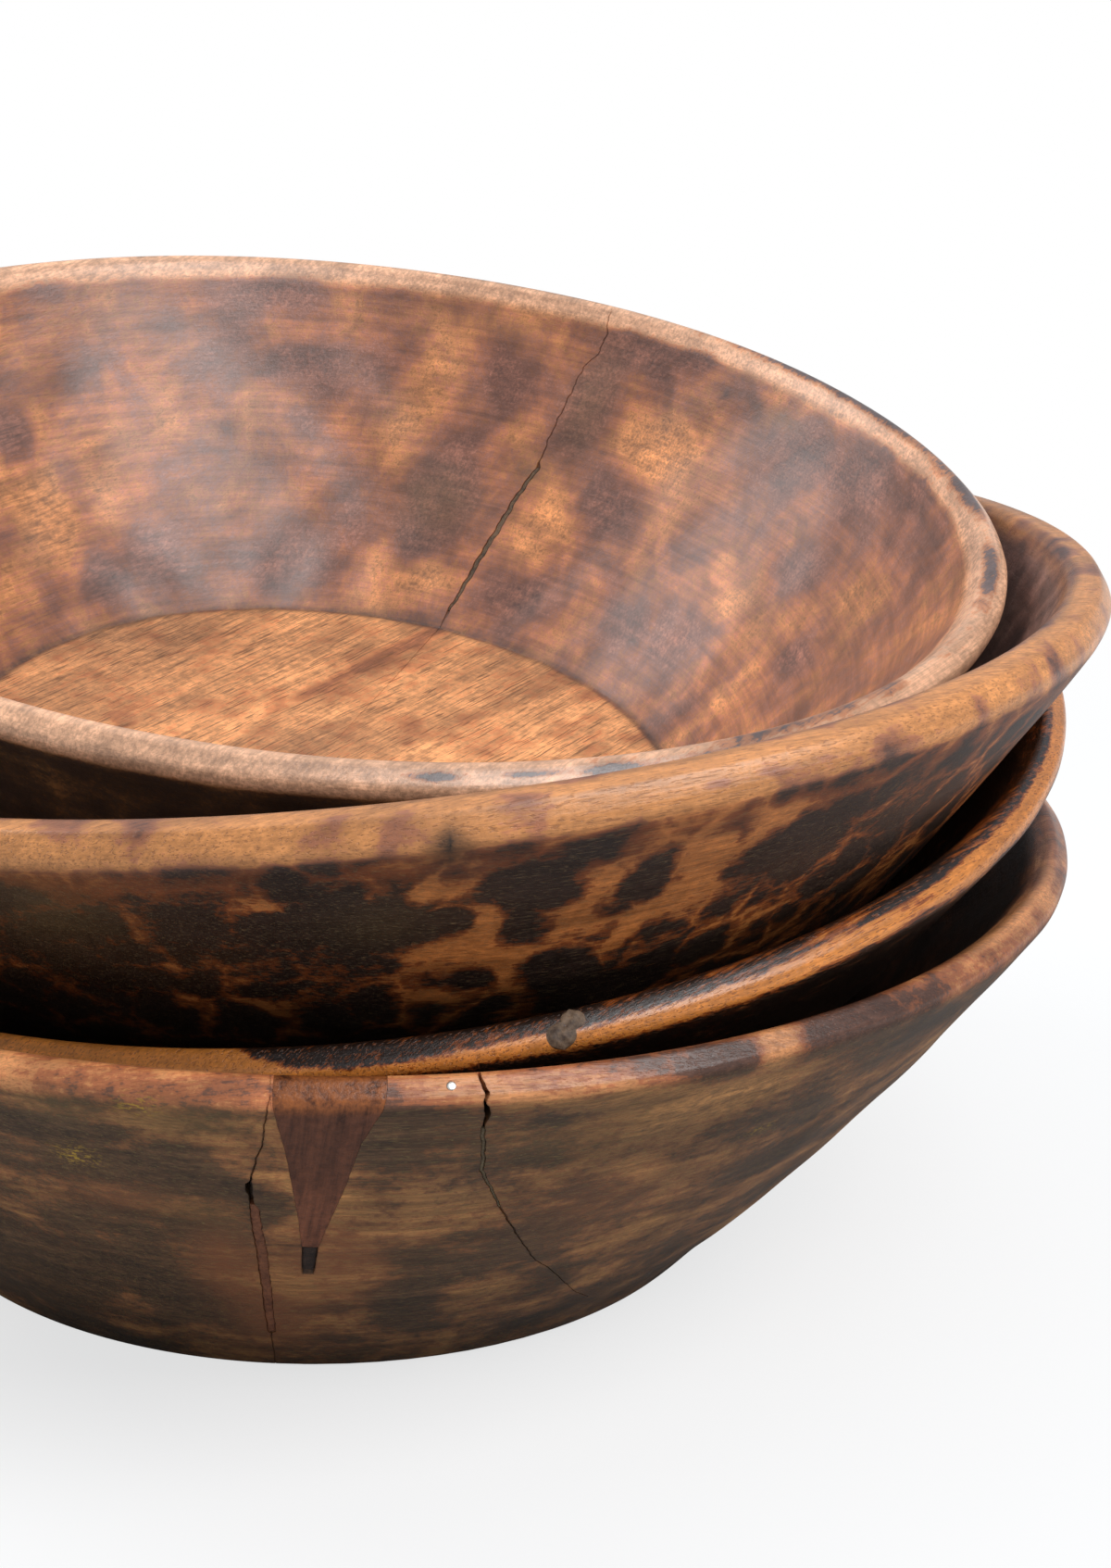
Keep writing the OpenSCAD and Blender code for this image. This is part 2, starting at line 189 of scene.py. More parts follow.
@dataclass(frozen=True)
class Trace:
    """A cross-section walked from the base's middle, up the outside, over the lip and down to the floor.

    Attributes:
        length: Distance walked at each sample.
        radius: Distance from the axis at each sample.
        height: Height above the base at each sample.
        out_r: Radial part of the outward normal at each sample.
        out_z: Upright part of the outward normal at each sample.
        edge: Distance walked at the end of the flat base.
        wall: Distance walked where the outside wall starts.
        lip: Distance walked where the lip starts.
        crown: Distance walked at the top of the lip.
        hollow: Distance walked where the inside wall starts.
        floor: Distance walked at the edge of the floor.
    """

    length: Array
    radius: Array
    height: Array
    out_r: Array
    out_z: Array
    edge: float
    wall: float
    lip: float
    crown: float
    hollow: float
    floor: float

    def at(self, walked: Array) -> tuple[Array, Array, Array, Array]:
        """Radius, height and normal where a distance has been walked.

        Args:
            walked: Distances along the section.

        Returns:
            Radius, height, and the normal's radial and upright parts.
        """
        samples = (self.radius, self.height, self.out_r, self.out_z)
        r, z, nr, nz = (np.interp(walked, self.length, values) for values in samples)
        size = np.hypot(nr, nz)
        return r, z, nr / size, nz / size

    def reach(self, height: Array | float, side: Side) -> Array:
        """Distance walked where a wall has a height above the base.

        Args:
            height: Heights above the base.
            side: Which face of the wall.

        Returns:
            Distances along the section.
        """
        if side is Side.OUTSIDE:
            part = (self.length >= self.wall) & (self.length <= self.crown)
            return np.interp(height, self.height[part], self.length[part])
        part = (self.length >= self.crown) & (self.length <= self.floor)
        return np.interp(height, self.height[part][::-1], self.length[part][::-1])


@dataclass(frozen=True)
class Section:
    """The sizes of one bowl's cross-section, in millimetres.

    Attributes:
        radius: Radius over the outside of the lip.
        height: Height from the base to the top of the lip.
        lip: Half the thickness of the rounded lip.
        base: Radius of the flat base.
        belly: How far the outside stands out from a straight cone.
        floor: Radius of the flat floor inside.
        thickness: Wood under the floor.
        hollow: How far the inside is hollowed back from a straight cone.
        edge: Radius of the worn edge around the base.
    """

    radius: float
    height: float
    lip: float
    base: float
    belly: float
    floor: float
    thickness: float
    hollow: float
    edge: float = 3.0

    @staticmethod
    def crossing(first: Array, r_first: float, second: Array, r_second: float) -> Array:
        """Crossing of two circles on the left of the line between their centres.

        Args:
            first: Centre of the first circle.
            r_first: Its radius.
            second: Centre of the second circle.
            r_second: Its radius.

        Returns:
            The crossing point.
        """
        apart = float(np.hypot(*(second - first)))
        way = (second - first) / apart
        along = (apart**2 + r_first**2 - r_second**2) / (2 * apart)
        return first + along * way + math.sqrt(r_first**2 - along**2) * np.array([-way[1], way[0]])

    @staticmethod
    def arc(centre: Array, r: float, start: float, end: float, step: float) -> Array:
        """Points on an arc between two directions in radians, about a step apart and at least eight."""
        count = max(8, int(abs(end - start) * r / step))
        turn = np.linspace(start, end, count)
        return centre + r * np.stack([np.cos(turn), np.sin(turn)], 1)

    def trace(self, step: float = 0.5) -> Trace:
        """Walks the section: flat base, worn edge, outer arc, full round lip, inner arc and flat floor.

        The outer arc starts at the base's edge and the inner arc at the floor's edge; both touch the
        round lip, whose centre lies its own radius inside the outline.

        Args:
            step: Distance between samples.

        Returns:
            The samples and the distances where one part meets the next.
        """
        middle = np.array([self.radius - self.lip, self.height - self.lip])
        foot, corner = np.array([self.base, 0.0]), np.array([self.floor, self.thickness])
        r_out = float(np.hypot(*(middle - foot))) ** 2 / (8 * self.belly)
        c_out = self.crossing(foot, r_out, middle, r_out - self.lip)
        r_in = float(np.hypot(*(middle - corner))) ** 2 / (8 * self.hollow)
        c_in = self.crossing(corner, r_in, middle, r_in + self.lip)
        worn_x = c_out[0] + math.sqrt((r_out - self.edge) ** 2 - (self.edge - c_out[1]) ** 2)
        worn = np.array([worn_x, self.edge])
        low = math.atan2(*(worn - c_out)[::-1])
        high = math.atan2(*(middle - c_out)[::-1])
        inner = math.atan2(*(c_in - middle)[::-1])
        down = math.atan2(*(corner - c_in)[::-1])
        base = np.arange(0, worn_x, step)
        level = np.arange(self.floor, -step / 2, -step)
        parts = [
            np.stack([base, np.zeros_like(base)], 1),
            self.arc(worn, self.edge, -math.pi / 2, low, step),
            self.arc(c_out, r_out, low, high, step),
            self.arc(middle, self.lip, high, math.pi / 2, step),
            self.arc(middle, self.lip, math.pi / 2, inner, step),
            self.arc(c_in, r_in, inner - math.pi, down, step),
            np.stack([level, np.full_like(level, self.thickness)], 1),
        ]
        points, marks = [parts[0]], []
        for part in parts[1:]:
            marks.append(sum(len(p) for p in points))
            points.append(part[1:] if np.allclose(part[0], points[-1][-1], atol=1e-6) else part)
        walk = np.concatenate(points)
        length = np.concatenate([[0], np.cumsum(np.hypot(*np.diff(walk, axis=0).T))])
        slope = np.gradient(walk, axis=0)
        slope /= np.hypot(slope[:, 0], slope[:, 1])[:, None]
        stops = [float(length[min(m, len(length) - 1)]) for m in marks]
        return Trace(length, walk[:, 0], walk[:, 1], slope[:, 1], -slope[:, 0], *stops)


@dataclass(frozen=True)
class Stand:
    """How one bowl stands in the bowl below.

    Attributes:
        shift: Shift to the right and to the back.
        seat: Height of its base in the bowl below.
        lean: Lean in degrees about X and then about Y.
    """

    shift: tuple[float, float]
    seat: float
    lean: tuple[float, float]

    def matrix(self) -> Array:
        """Turn about Y, then about X, then the shift and the seat, as a 4 by 4 matrix."""
        lean_x, lean_y = (math.radians(a) for a in self.lean)
        turned = Matrix.Rotation(lean_x, 4, "X") @ Matrix.Rotation(lean_y, 4, "Y")
        return np.array(Matrix.Translation((*self.shift, self.seat)) @ turned)


@dataclass(frozen=True)
class Groove:
    """A crack, slot or pocket that runs up one face of a wall.

    Attributes:
        side: The face it opens on.
        heights: Heights above the base, from low to high.
        left: Azimuth of its left edge at each height.
        right: Azimuth of its right edge at each height.
        depth: Depth at each height.
        grime: How dirty it is at each height.
        jag: How far its edges wander, in degrees.
        over_lip: True where it runs over the lip and down the other face.
    """

    side: Side
    heights: tuple[float, ...]
    left: tuple[float, ...]
    right: tuple[float, ...]
    depth: tuple[float, ...]
    grime: tuple[float, ...]
    jag: float = 0.0
    over_lip: bool = False

    @classmethod
    def crack(cls, side: Side, radius: float, jag: float, path: list[tuple[float, ...]]) -> "Groove":
        """A groove from a middle line.

        Args:
            side: The face it opens on.
            radius: Distance from the axis at which widths are taken.
            jag: How far its edges wander, in millimetres.
            path: Height, azimuth, width, depth and grime of each point, from low to high.

        Returns:
            The groove.
        """
        high, azimuth, width, depth, grime = (np.array(v) for v in zip(*path, strict=True))
        half = np.degrees(width / 2 / radius)
        left, right = tuple(azimuth - half), tuple(azimuth + half)
        return cls(side, tuple(high), left, right, tuple(depth), tuple(grime), math.degrees(jag / radius))

    def edges(self, height: Array) -> tuple[Array, Array]:
        """Azimuths of both edges at some heights: broken lines plus waves up the wall.

        Three waves, 20, 6.5 and 3.4 mm long, move both edges. A fourth, 4.8 mm long and taken without its
        sign, moves the right edge only and so changes the width.

        Args:
            height: Heights above the base.

        Returns:
            Left and right azimuths; past its ends the groove goes straight on.
        """
        high = np.clip(height, self.heights[0], self.heights[-1])
        wander = 0.5 * np.sin(0.31 * high) + 0.5 * np.sin(0.97 * high + 1.0)
        wander += 0.4 * np.sin(1.83 * high + 4.0)
        nick = 0.5 * np.abs(np.sin(1.3 * high + 2.0))
        left = np.interp(high, self.heights, self.left) + self.jag * wander
        right = np.interp(high, self.heights, self.right) + self.jag * (wander + nick)
        return left, right

    def sunk(self, height: Array) -> Array:
        """Depth at some heights, none past the ends."""
        return np.interp(height, self.heights, self.depth, left=0, right=0)

    def dirt(self, height: Array) -> Array:
        """Dirt at some heights, none past the ends."""
        return np.interp(height, self.heights, self.grime, left=0, right=0)


@dataclass(frozen=True)
class Carving:
    """How unevenly a bowl was carved and worn, all into the wood.

    Attributes:
        seed: Starts the waves' directions and phases.
        sway: Largest slow unevenness around the walls.
        ripple: Largest tool-mark waves on the walls.
        crown: Largest wear on the top of the lip.
        flats: Flats cut along the round lip: the direction each faces, in degrees from upright towards
            the outside, and its depth.
        swells: Fewest slow waves around the bowl, and one past the most.
        cuts: Number of tool-mark waves.
        strokes: Fewest tool marks around the bowl in one such wave, and one past the most.
        slant: Largest turn of such a wave along the section, in radians per millimetre.
    """

    seed: int
    sway: float
    ripple: float
    crown: float
    flats: tuple[tuple[float, float], ...] = ()
    swells: tuple[int, int] = (2, 7)
    cuts: int = 16
    strokes: tuple[int, int] = (7, 38)
    slant: float = 0.2

    def wear(self, azimuth: Array, walked: Array, trace: Trace, lip_radius: float) -> Array:
        """Depth worn off at points of the surface, as sums of waves around and along the section.

        A flat takes off what lies past a chord of the round lip, deeper and shallower around the bowl.
        Instead of the larger of x and 0 it takes half of x plus the root of x squared and the ease
        squared, so that its edges run out softly.

        Args:
            azimuth: Azimuths of the points.
            walked: Distances along the section.
            trace: The section.
            lip_radius: Half the thickness of the lip.

        Returns:
            Depths, none below zero, and next to none on the base and in the middle of the floor.
        """
        random = np.random.default_rng(self.seed)
        turn = np.radians(azimuth)
        slow, ripple, lip = np.zeros_like(turn), np.zeros_like(turn), np.zeros_like(turn)
        for lobes in range(*self.swells):
            slow += np.cos(lobes * turn + random.uniform(0, PHASE)) / lobes
            lip += np.cos((lobes + 1) * turn + random.uniform(0, PHASE)) / lobes
        for _ in range(self.cuts):
            lobes, pitch = random.integers(*self.strokes), random.uniform(-self.slant, self.slant)
            ripple += np.cos(lobes * turn + pitch * walked + random.uniform(0, PHASE)) / 5
        radius, _, _, _ = trace.at(walked)
        # Wear fades in over the lowest 12 mm of the wall and out between 60 and 25 mm from the axis
        on_wall = smooth(0, 12, walked - trace.wall) * smooth(25, 60, radius)
        on_floor = smooth(-4, 4, walked - trace.floor)
        crown = bell(walked, trace.crown, 0.8 * (trace.hollow - trace.lip))
        tools = self.ripple * (1 + np.tanh(ripple)) / 2 * (1 - 0.6 * on_floor)
        worn = on_wall * (1 - crown) * (self.sway * (1 + np.tanh(slow)) / 2 + tools)
        worn += crown * self.crown * (1 + np.tanh(lip)) / 2
        for facing, depth in self.flats:
            away = np.clip((trace.crown - walked) / lip_radius - math.radians(facing), -1.2, 1.2)
            chord = lip_radius - depth * (0.75 + 0.25 * np.tanh(lip))
            past = lip_radius - chord / np.cos(away)
            worn += (past + np.sqrt(past**2 + FLAT_EASE**2)) / 2
        return worn


class Graph:
    """A node tree that grows by one node at a time."""

    def __init__(self, tree: bpy.types.NodeTree) -> None:
        """Takes over a node tree and empties it."""
        self.tree = tree
        tree.nodes.clear()

    def add(
        self, kind: str, inputs: dict[str | int, Any] | None = None, out: str | int = 0, **settings: Any
    ) -> bpy.types.NodeSocket | None:
        """Adds a node with its settings and links.

        Args:
            kind: The node's type, without the ShaderNode that it starts with.
            inputs: A value or another node's output for each named or numbered input.
            out: Name or number of the output to give back.
            settings: The node's own settings.

        Returns:
            The output, or None for a node without outputs.
        """
        made = self.tree.nodes.new("ShaderNode" + kind)
        for name, value in settings.items():
            setattr(made, name, value)
        for key, value in (inputs or {}).items():
            if isinstance(value, bpy.types.NodeSocket):
                self.tree.links.new(value, made.inputs[key])
            else:
                made.inputs[key].default_value = value
        return made.outputs[out] if made.outputs else None


def new_graph(name: str) -> tuple[bpy.types.Material, Graph]:
    """Makes an empty node material and its graph."""
    material = bpy.data.materials.new(name)
    material.use_nodes = True
    return material, Graph(material.node_tree)


@dataclass(frozen=True)
class ZoneTone:
    """Colours of one zone of a bowl.

    Attributes:
        wood: The wood where it is clean.
        edge: The wood at the edge of a stain.
        blotch: The wood where it is stained dark.
        pore: Its open pores.
    """

    wood: str
    edge: str
    blotch: str
    pore: str = "#3E2618"


@dataclass(frozen=True)
class OiledHardwood:
    """Old hardwood carved by hand, smoked, oiled and waxed.

    It shows the eye long fibres and short open pores along the log, dark cells of stain with a lighter
    net between them, a soft cloudy change of tone, and a satin film of wax over all of it.

    Attributes:
        name: The material's name.
        outside: Colours of the outside wall.
        inside: Colours of the inside wall.
        lip: Colours of the lip.
        floor: Colours of the floor.
        log: Azimuth that the log's fibres run in.
        cell: Size of the stained cells in millimetres.
        bend: How far the cells are bent out of shape in millimetres.
        cloud: Size of the cloudy changes in millimetres, around the bowl and along its section.
        net: How much the net between the cells shows.
        mottle: How much the clouds show.
        ragged: How much the fibres tear the edges of the stain.
        grain: How much the grit breaks them up.
        pores: Length and width of the open pores in millimetres.
        streak: How much the fibres show.
        wiped: How much the marks of wiping show, next to the fibres.
        roughness: Roughness of the clean wood and of the stained wood.
        wax: Weight of the film of wax.
        shine: Specular level, 0.5 for a plain dielectric.
        rubbed: Colour of reddish wood that hands have rubbed.
        smoke: Colour of olive smoke.
        soot: Colour of blue-black stain.
        paint: Colour of old flecks of paint.
        dirt: Colour of the dirt in cracks and corners, and of the painted shade in the corner around the
            floor.
    """

    name: str
    outside: ZoneTone
    inside: ZoneTone
    lip: ZoneTone
    floor: ZoneTone
    log: float
    cell: float = 17.0
    bend: float = 9.0
    cloud: tuple[float, float] = (40.0, 40.0)
    net: float = 1.6
    mottle: float = 1.5
    ragged: float = 0.4
    grain: float = 0.5
    pores: tuple[float, float] = (3.6, 0.45)
    streak: float = 0.24
    wiped: float = 0.8
    roughness: tuple[float, float] = (0.48, 0.4)
    wax: float = 0.1
    shine: float = 0.4
    rubbed: str = "#8E5430"
    smoke: str = "#66502C"
    soot: str = "#2A2220"
    paint: str = "#C9A02A"
    dirt: str = "#1A130F"

    def make(self) -> bpy.types.Material:
        """Builds the material.

        Returns:
            The material, which reads Object coordinates and the bowl's own attributes.
        """
        material, g = new_graph(self.name)
        place = g.add("TexCoord", out="Object")
        level = g.add("Attribute", out="Vector", attribute_name="level")
        around = g.add("Attribute", out="Vector", attribute_name="wrap")
        zones = ("inside", "lip", "floor", "bias", "soft", "pore", "tone")
        marks = ("grime", "stain", "warm", "olive", "paint")
        at = {name: g.add("Attribute", out="Fac", attribute_name=name) for name in zones + marks}

        # Sizes in millimetres along the log and across it: fibres, open pores, rubbed flecks, growth bands,
        # clouds of stain, grit, broad marks of wiping around the bowl, and the bends of the cells
        log, cell = math.radians(self.log), self.cell * 0.9
        noise: dict[str, bpy.types.NodeSocket] = {}
        for name, where, size, turn, detail, rough, bend, out in (
            ("fibre", level, (34.0, 0.9, 0.9), log, 4.0, 0.62, 0.0, 0),
            ("pore", level, (*self.pores, self.pores[1]), log, 1.0, 0.5, 0.0, 0),
            ("fleck", level, (1.8, 0.8, 0.8), log, 2.0, 0.6, 0.0, 0),
            ("figure", level, (140.0, 15.0, 15.0), log, 3.0, 0.55, 0.6, 0),
            ("cloud", around, (self.cloud[0], *self.cloud), 0.0, 6.0, 0.6, 0.4, 0),
            ("grit", place, (3.2,) * 3, 0.0, 5.0, 0.7, 0.0, 0),
            ("wipe", around, (60.0, 60.0, 3.0), 0.0, 5.0, 0.68, 0.0, 0),
            ("bent", place, (cell,) * 3, 0.0, 3.0, 0.6, 0.0, 1),
        ):
            scale = tuple(s * MM for s in size)
            inputs = {"Vector": where, "Rotation": (0, 0, turn), "Scale": scale}
            mapped = g.add("Mapping", inputs, vector_type="TEXTURE")
            inputs = {"Vector": mapped, "Scale": 1.0, "Detail": detail}
            inputs |= {"Roughness": rough, "Distortion": bend}
            noise[name] = g.add("TexNoise", inputs, out)

        # Cells of stain: distance to the borders of bent cells, broken up by the clouds and the grit
        inputs = {0: noise["bent"], 1: (self.bend * MM,) * 3, 2: place}
        bent = g.add("VectorMath", inputs, operation="MULTIPLY_ADD")
        inputs = {"Vector": bent, "Scale": 1 / (self.cell * MM)}
        border = g.add("TexVoronoi", inputs, "Distance", feature="DISTANCE_TO_EDGE")
        amount = at["bias"]
        for part, weight in (
            (border, self.net),
            (noise["cloud"], self.mottle),
            (noise["grit"], self.grain),
            (noise["fibre"], self.ragged),
        ):
            amount = g.add("Math", {0: part, 1: weight, 2: amount}, operation="MULTIPLY_ADD")
        # Where half of the surface is stained: a border is on average 0.17 away and noise is 0.5
        half = 0.17 * self.net + 0.5 * (self.mottle + self.grain + self.ragged)
        low = g.add("Math", {0: half, 1: at["soft"]}, operation="SUBTRACT")
        high = g.add("Math", {0: half, 1: at["soft"]}, operation="ADD")
        singed = g.add("MapRange", {0: amount, 1: low, 2: half}, interpolation_type="SMOOTHSTEP")
        dark = g.add("MapRange", {0: amount, 1: half, 2: high}, interpolation_type="SMOOTHSTEP")

        tones: dict[str, Any] = {part: linear(colour) for part, colour in vars(self.outside).items()}
        for zone, tone in (("inside", self.inside), ("floor", self.floor), ("lip", self.lip)):
            for part, colour in vars(tone).items():
                inputs = {0: at[zone], 6: tones[part], 7: linear(colour)}
                tones[part] = g.add("Mix", inputs, 2, data_type="RGBA")
        colour = g.add("Mix", {0: singed, 6: tones["wood"], 7: tones["edge"]}, 2, data_type="RGBA")
        colour = g.add("Mix", {0: dark, 6: colour, 7: tones["blotch"]}, 2, data_type="RGBA")

        # Light and dark along the fibres, the growth bands and the marks of wiping
        # The tone attribute it starts from holds painted light and painted shade on some bowls
        shade = at["tone"]
        for name, weight in (("fibre", 1.0), ("figure", 0.9), ("wipe", self.wiped), ("grit", 0.9)):
            swing = self.streak * weight
            inputs = {0: noise[name], 1: 0.3, 2: 0.7, 3: 1 - swing, 4: 1 + swing}
            band = g.add("MapRange", inputs, interpolation_type="SMOOTHSTEP")
            shade = g.add("Math", {0: shade, 1: band}, operation="MULTIPLY")
        rubbed = g.add("Math", {0: at["lip"], 1: 0.25}, operation="MULTIPLY")
        shade = g.add("Mix", {0: rubbed, 2: shade, 3: at["tone"]})
        colour = g.add("VectorMath", {0: colour, "Scale": shade}, operation="SCALE")

        # Reddish rubbed wood, olive smoke, blue-black stain, the dark of the pores, and dirt with some
        # painted shade in the floor's corner, each broken up
        patchy = g.add("Math", {0: noise["grit"], 1: noise["cloud"]}, operation="ADD")
        patchy = g.add("MapRange", {0: patchy, 1: 0.75, 2: 1.1, 3: 0.3, 4: 1.0})
        open_pore = g.add("MapRange", {0: noise["pore"], 1: 0.58, 2: 0.67}, interpolation_type="SMOOTHSTEP")
        fleck = g.add("MapRange", {0: noise["fleck"], 1: 0.67, 2: 0.76, 4: 0.8})
        chipped = g.add("MapRange", {0: noise["fleck"], 1: 0.52, 2: 0.6})
        fleck = g.add("Math", {0: fleck, 1: dark}, operation="MULTIPLY")
        dirt = g.add("MapRange", {0: noise["grit"], 1: 0.25, 2: 0.6, 3: 0.55, 4: 1.0})
        pore = g.add("Math", {0: open_pore, 1: at["pore"]}, operation="MULTIPLY")
        grime = g.add("Math", {0: dirt, 1: at["grime"]}, operation="MULTIPLY")
        for factor, over, tint in (
            (at["warm"], patchy, linear(self.rubbed)),
            (at["olive"], patchy, linear(self.smoke)),
            (at["stain"], patchy, linear(self.soot)),
            (fleck, patchy, tones["pore"]),
            (at["paint"], chipped, linear(self.paint)),
            (pore, None, tones["pore"]),
            (grime, None, linear(self.dirt)),
        ):
            if over is not None:
                factor = g.add("Math", {0: factor, 1: over}, operation="MULTIPLY")
            colour = g.add("Mix", {0: factor, 6: colour, 7: tint}, 2, data_type="RGBA")

        gloss = g.add("MapRange", {0: dark, 3: self.roughness[0], 4: self.roughness[1]})
        relief = g.add("Math", {0: noise["figure"], 1: 0.3}, operation="MULTIPLY")
        for part, weight in ((grime, 0.2), (noise["grit"], 0.12), (pore, 0.1), (at["lip"], -0.1)):
            gloss = g.add("Math", {0: part, 1: weight, 2: gloss}, operation="MULTIPLY_ADD")
        for part, weight in (
            (noise["fibre"], 0.4),
            (noise["grit"], 0.35),
            (noise["wipe"], 0.4),
            (pore, -0.6),
        ):
            relief = g.add("Math", {0: part, 1: weight, 2: relief}, operation="MULTIPLY_ADD")
        bump = g.add("Bump", {"Strength": 0.55, "Distance": 0.6 * MM, "Height": relief})
        inputs = {
            "Base Color": colour,
            "Roughness": gloss,
            "IOR": 1.5,
            "Specular IOR Level": self.shine,
            "Coat Weight": self.wax,
            "Coat Roughness": 0.3,
            "Normal": bump,
        }
        g.add("OutputMaterial", {"Surface": g.add("BsdfPrincipled", inputs)})
        return material


@dataclass(frozen=True)
class PatchRedwood:
    """A wedge of red-brown hardwood with its fibres up the wall, oiled with the bowl.

    It shows the eye fine slanting fibres a little redder than the wood around them, and satin wax.

    Attributes:
        name: The material's name.
        light: Colour of the lighter fibres.
        dark: Colour of the darker fibres.
        rubbed: Colour where hands have rubbed the lip.
        slope: Tilt of the fibres from upright towards the front, in degrees.
        slant: Tilt of the fibres to the right, in degrees.
    """

    name: str = "oiled_redwood"
    light: str = "#92563A"
    dark: str = "#562E1C"
    rubbed: str = "#A8602E"
    slope: float = 37.8
    slant: float = 6.0

    def make(self) -> bpy.types.Material:
        """Builds the material.

        Returns:
            The material, with fibres 0.9 mm wide and 30 mm long and growth bands 5 mm wide.
        """
        material, g = new_graph(self.name)
        place = g.add("TexCoord", out="Object")
        turn = (math.radians(self.slope), math.radians(self.slant), 0)
        mixed: Any = 0.0
        for size, detail in (((0.9, 0.9, 30.0), 4.0), ((5.0, 5.0, 80.0), 2.0), ((2.5, 2.5, 2.5), 4.0)):
            inputs = {"Vector": place, "Rotation": turn, "Scale": tuple(s * MM for s in size)}
            mapped = g.add("Mapping", inputs, vector_type="TEXTURE")
            inputs = {"Vector": mapped, "Scale": 1.0, "Detail": detail, "Roughness": 0.6}
            noise = g.add("TexNoise", inputs)
            mixed = g.add("Math", {0: mixed, 1: noise}, operation="ADD")
        step = g.add("MapRange", {0: mixed, 1: 1.15, 2: 1.85})
        colour = g.add("Mix", {0: step, 6: linear(self.dark), 7: linear(self.light)}, 2, data_type="RGBA")
        tone = g.add("Attribute", out="Fac", attribute_name="tone")
        colour = g.add("VectorMath", {0: colour, "Scale": tone}, operation="SCALE")
        lip = g.add("Attribute", out="Fac", attribute_name="lip")
        lip = g.add("Math", {0: lip, 1: step}, operation="MULTIPLY")
        colour = g.add("Mix", {0: lip, 6: colour, 7: linear(self.rubbed)}, 2, data_type="RGBA")
        gloss = g.add("MapRange", {0: mixed, 1: 1.1, 2: 1.9, 3: 0.32, 4: 0.44})
        bump = g.add("Bump", {"Strength": 0.5, "Distance": 0.4 * MM, "Height": mixed})
        inputs = {"Base Color": colour, "Roughness": gloss, "Normal": bump, **SATIN}
        g.add("OutputMaterial", {"Surface": g.add("BsdfPrincipled", inputs)})
        return material


@dataclass(frozen=True)
class Filler:
    """Glue and sawdust pressed into a crack, rubbed down and dirty.

    It shows the eye a dull speckled mass, without fibres, a little rougher than the wood around it.

    Attributes:
        name: The material's name.
        light: Colour of the lighter specks.
        dark: Colour of the darker specks.
        grain: Size of the specks in millimetres.
        roughness: Its roughness.
        stretch: How much longer the specks are up the wall than across it.
    """

    name: str
    light: str
    dark: str
    grain: float
    roughness: float = 0.6
    stretch: float = 1.0

    def make(self) -> bpy.types.Material:
        """Builds the material.

        Returns:
            The material, which reads Object coordinates.
        """
        material, g = new_graph(self.name)
        place = g.add("TexCoord", out="Object")
        size = self.grain * MM
        inputs = {"Vector": place, "Scale": (size, size, size * self.stretch)}
        mapped = g.add("Mapping", inputs, vector_type="TEXTURE")
        speck = g.add("TexNoise", {"Vector": mapped, "Scale": 1.0, "Detail": 5.0, "Roughness": 0.65})
        broad = g.add("TexNoise", {"Vector": mapped, "Scale": 0.18, "Detail": 3.0})
        both = g.add("Math", {0: broad, 1: 0.8, 2: speck}, operation="MULTIPLY_ADD")
        step = g.add("MapRange", {0: both, 1: 0.65, 2: 1.15})
        colour = g.add("Mix", {0: step, 6: linear(self.dark), 7: linear(self.light)}, 2, data_type="RGBA")
        gloss = g.add("MapRange", {0: speck, 3: self.roughness - 0.08, 4: self.roughness + 0.08})
        bump = g.add("Bump", {"Strength": 0.5, "Distance": 0.4 * MM, "Height": speck})
        inputs = {"Base Color": colour, "Roughness": gloss, "Normal": bump, **SATIN}
        g.add("OutputMaterial", {"Surface": g.add("BsdfPrincipled", inputs)})
        return material


@dataclass(frozen=True)
class WornSteel:
    """The filed end of a steel pin, worn bright by hands.

    It shows the eye a small bright disc with faint scratches.

    Attributes:
        name: The material's name.
        colour: The steel's colour.
    """

    name: str = "worn_steel"
    colour: str = "#E4E1DA"

    def make(self) -> bpy.types.Material:
        """Builds the material.

        Returns:
            The material, with scratches 0.15 mm apart.
        """
        material, g = new_graph(self.name)
        place = g.add("TexCoord", out="Object")
        inputs = {"Vector": place, "Scale": (2 * MM, 0.15 * MM, 0.15 * MM)}
        mapped = g.add("Mapping", inputs, vector_type="TEXTURE")
        scratch = g.add("TexNoise", {"Vector": mapped, "Scale": 1.0, "Detail": 3.0})
        rough = g.add("MapRange", {0: scratch, 3: 0.3, 4: 0.5})
        bump = g.add("Bump", {"Strength": 0.3, "Distance": 0.1 * MM, "Height": scratch})
        inputs = {"Base Color": linear(self.colour), "Metallic": 1.0, "Roughness": rough, "Normal": bump}
        g.add("OutputMaterial", {"Surface": g.add("BsdfPrincipled", inputs)})
        return material


@dataclass(frozen=True)
class Spot:
    """A soft-edged mark on a bowl's surface.

    Attributes:
        azimuth: Its direction from +X.
        height: Its height above the base.
        across: Half its width around the bowl, in millimetres.
        along: Half its width along the section, in millimetres.
        strength: How strong it is; below zero it takes stain away.
        layer: The attribute that it adds to.
        side: The face it is on.
    """

    azimuth: float
    height: float
    across: float
    along: float
    strength: float
    layer: str
    side: Side


def spots(layer: str, side: Side, *marks: tuple[float, ...]) -> tuple[Spot, ...]:
    """Marks of one kind on one face.

    Args:
        layer: The attribute that they add to.
        side: The face they are on.
        marks: Azimuth, height, half width across and along, and strength of each.

    Returns:
        The marks.
    """
    return tuple(Spot(*mark, layer, side) for mark in marks)


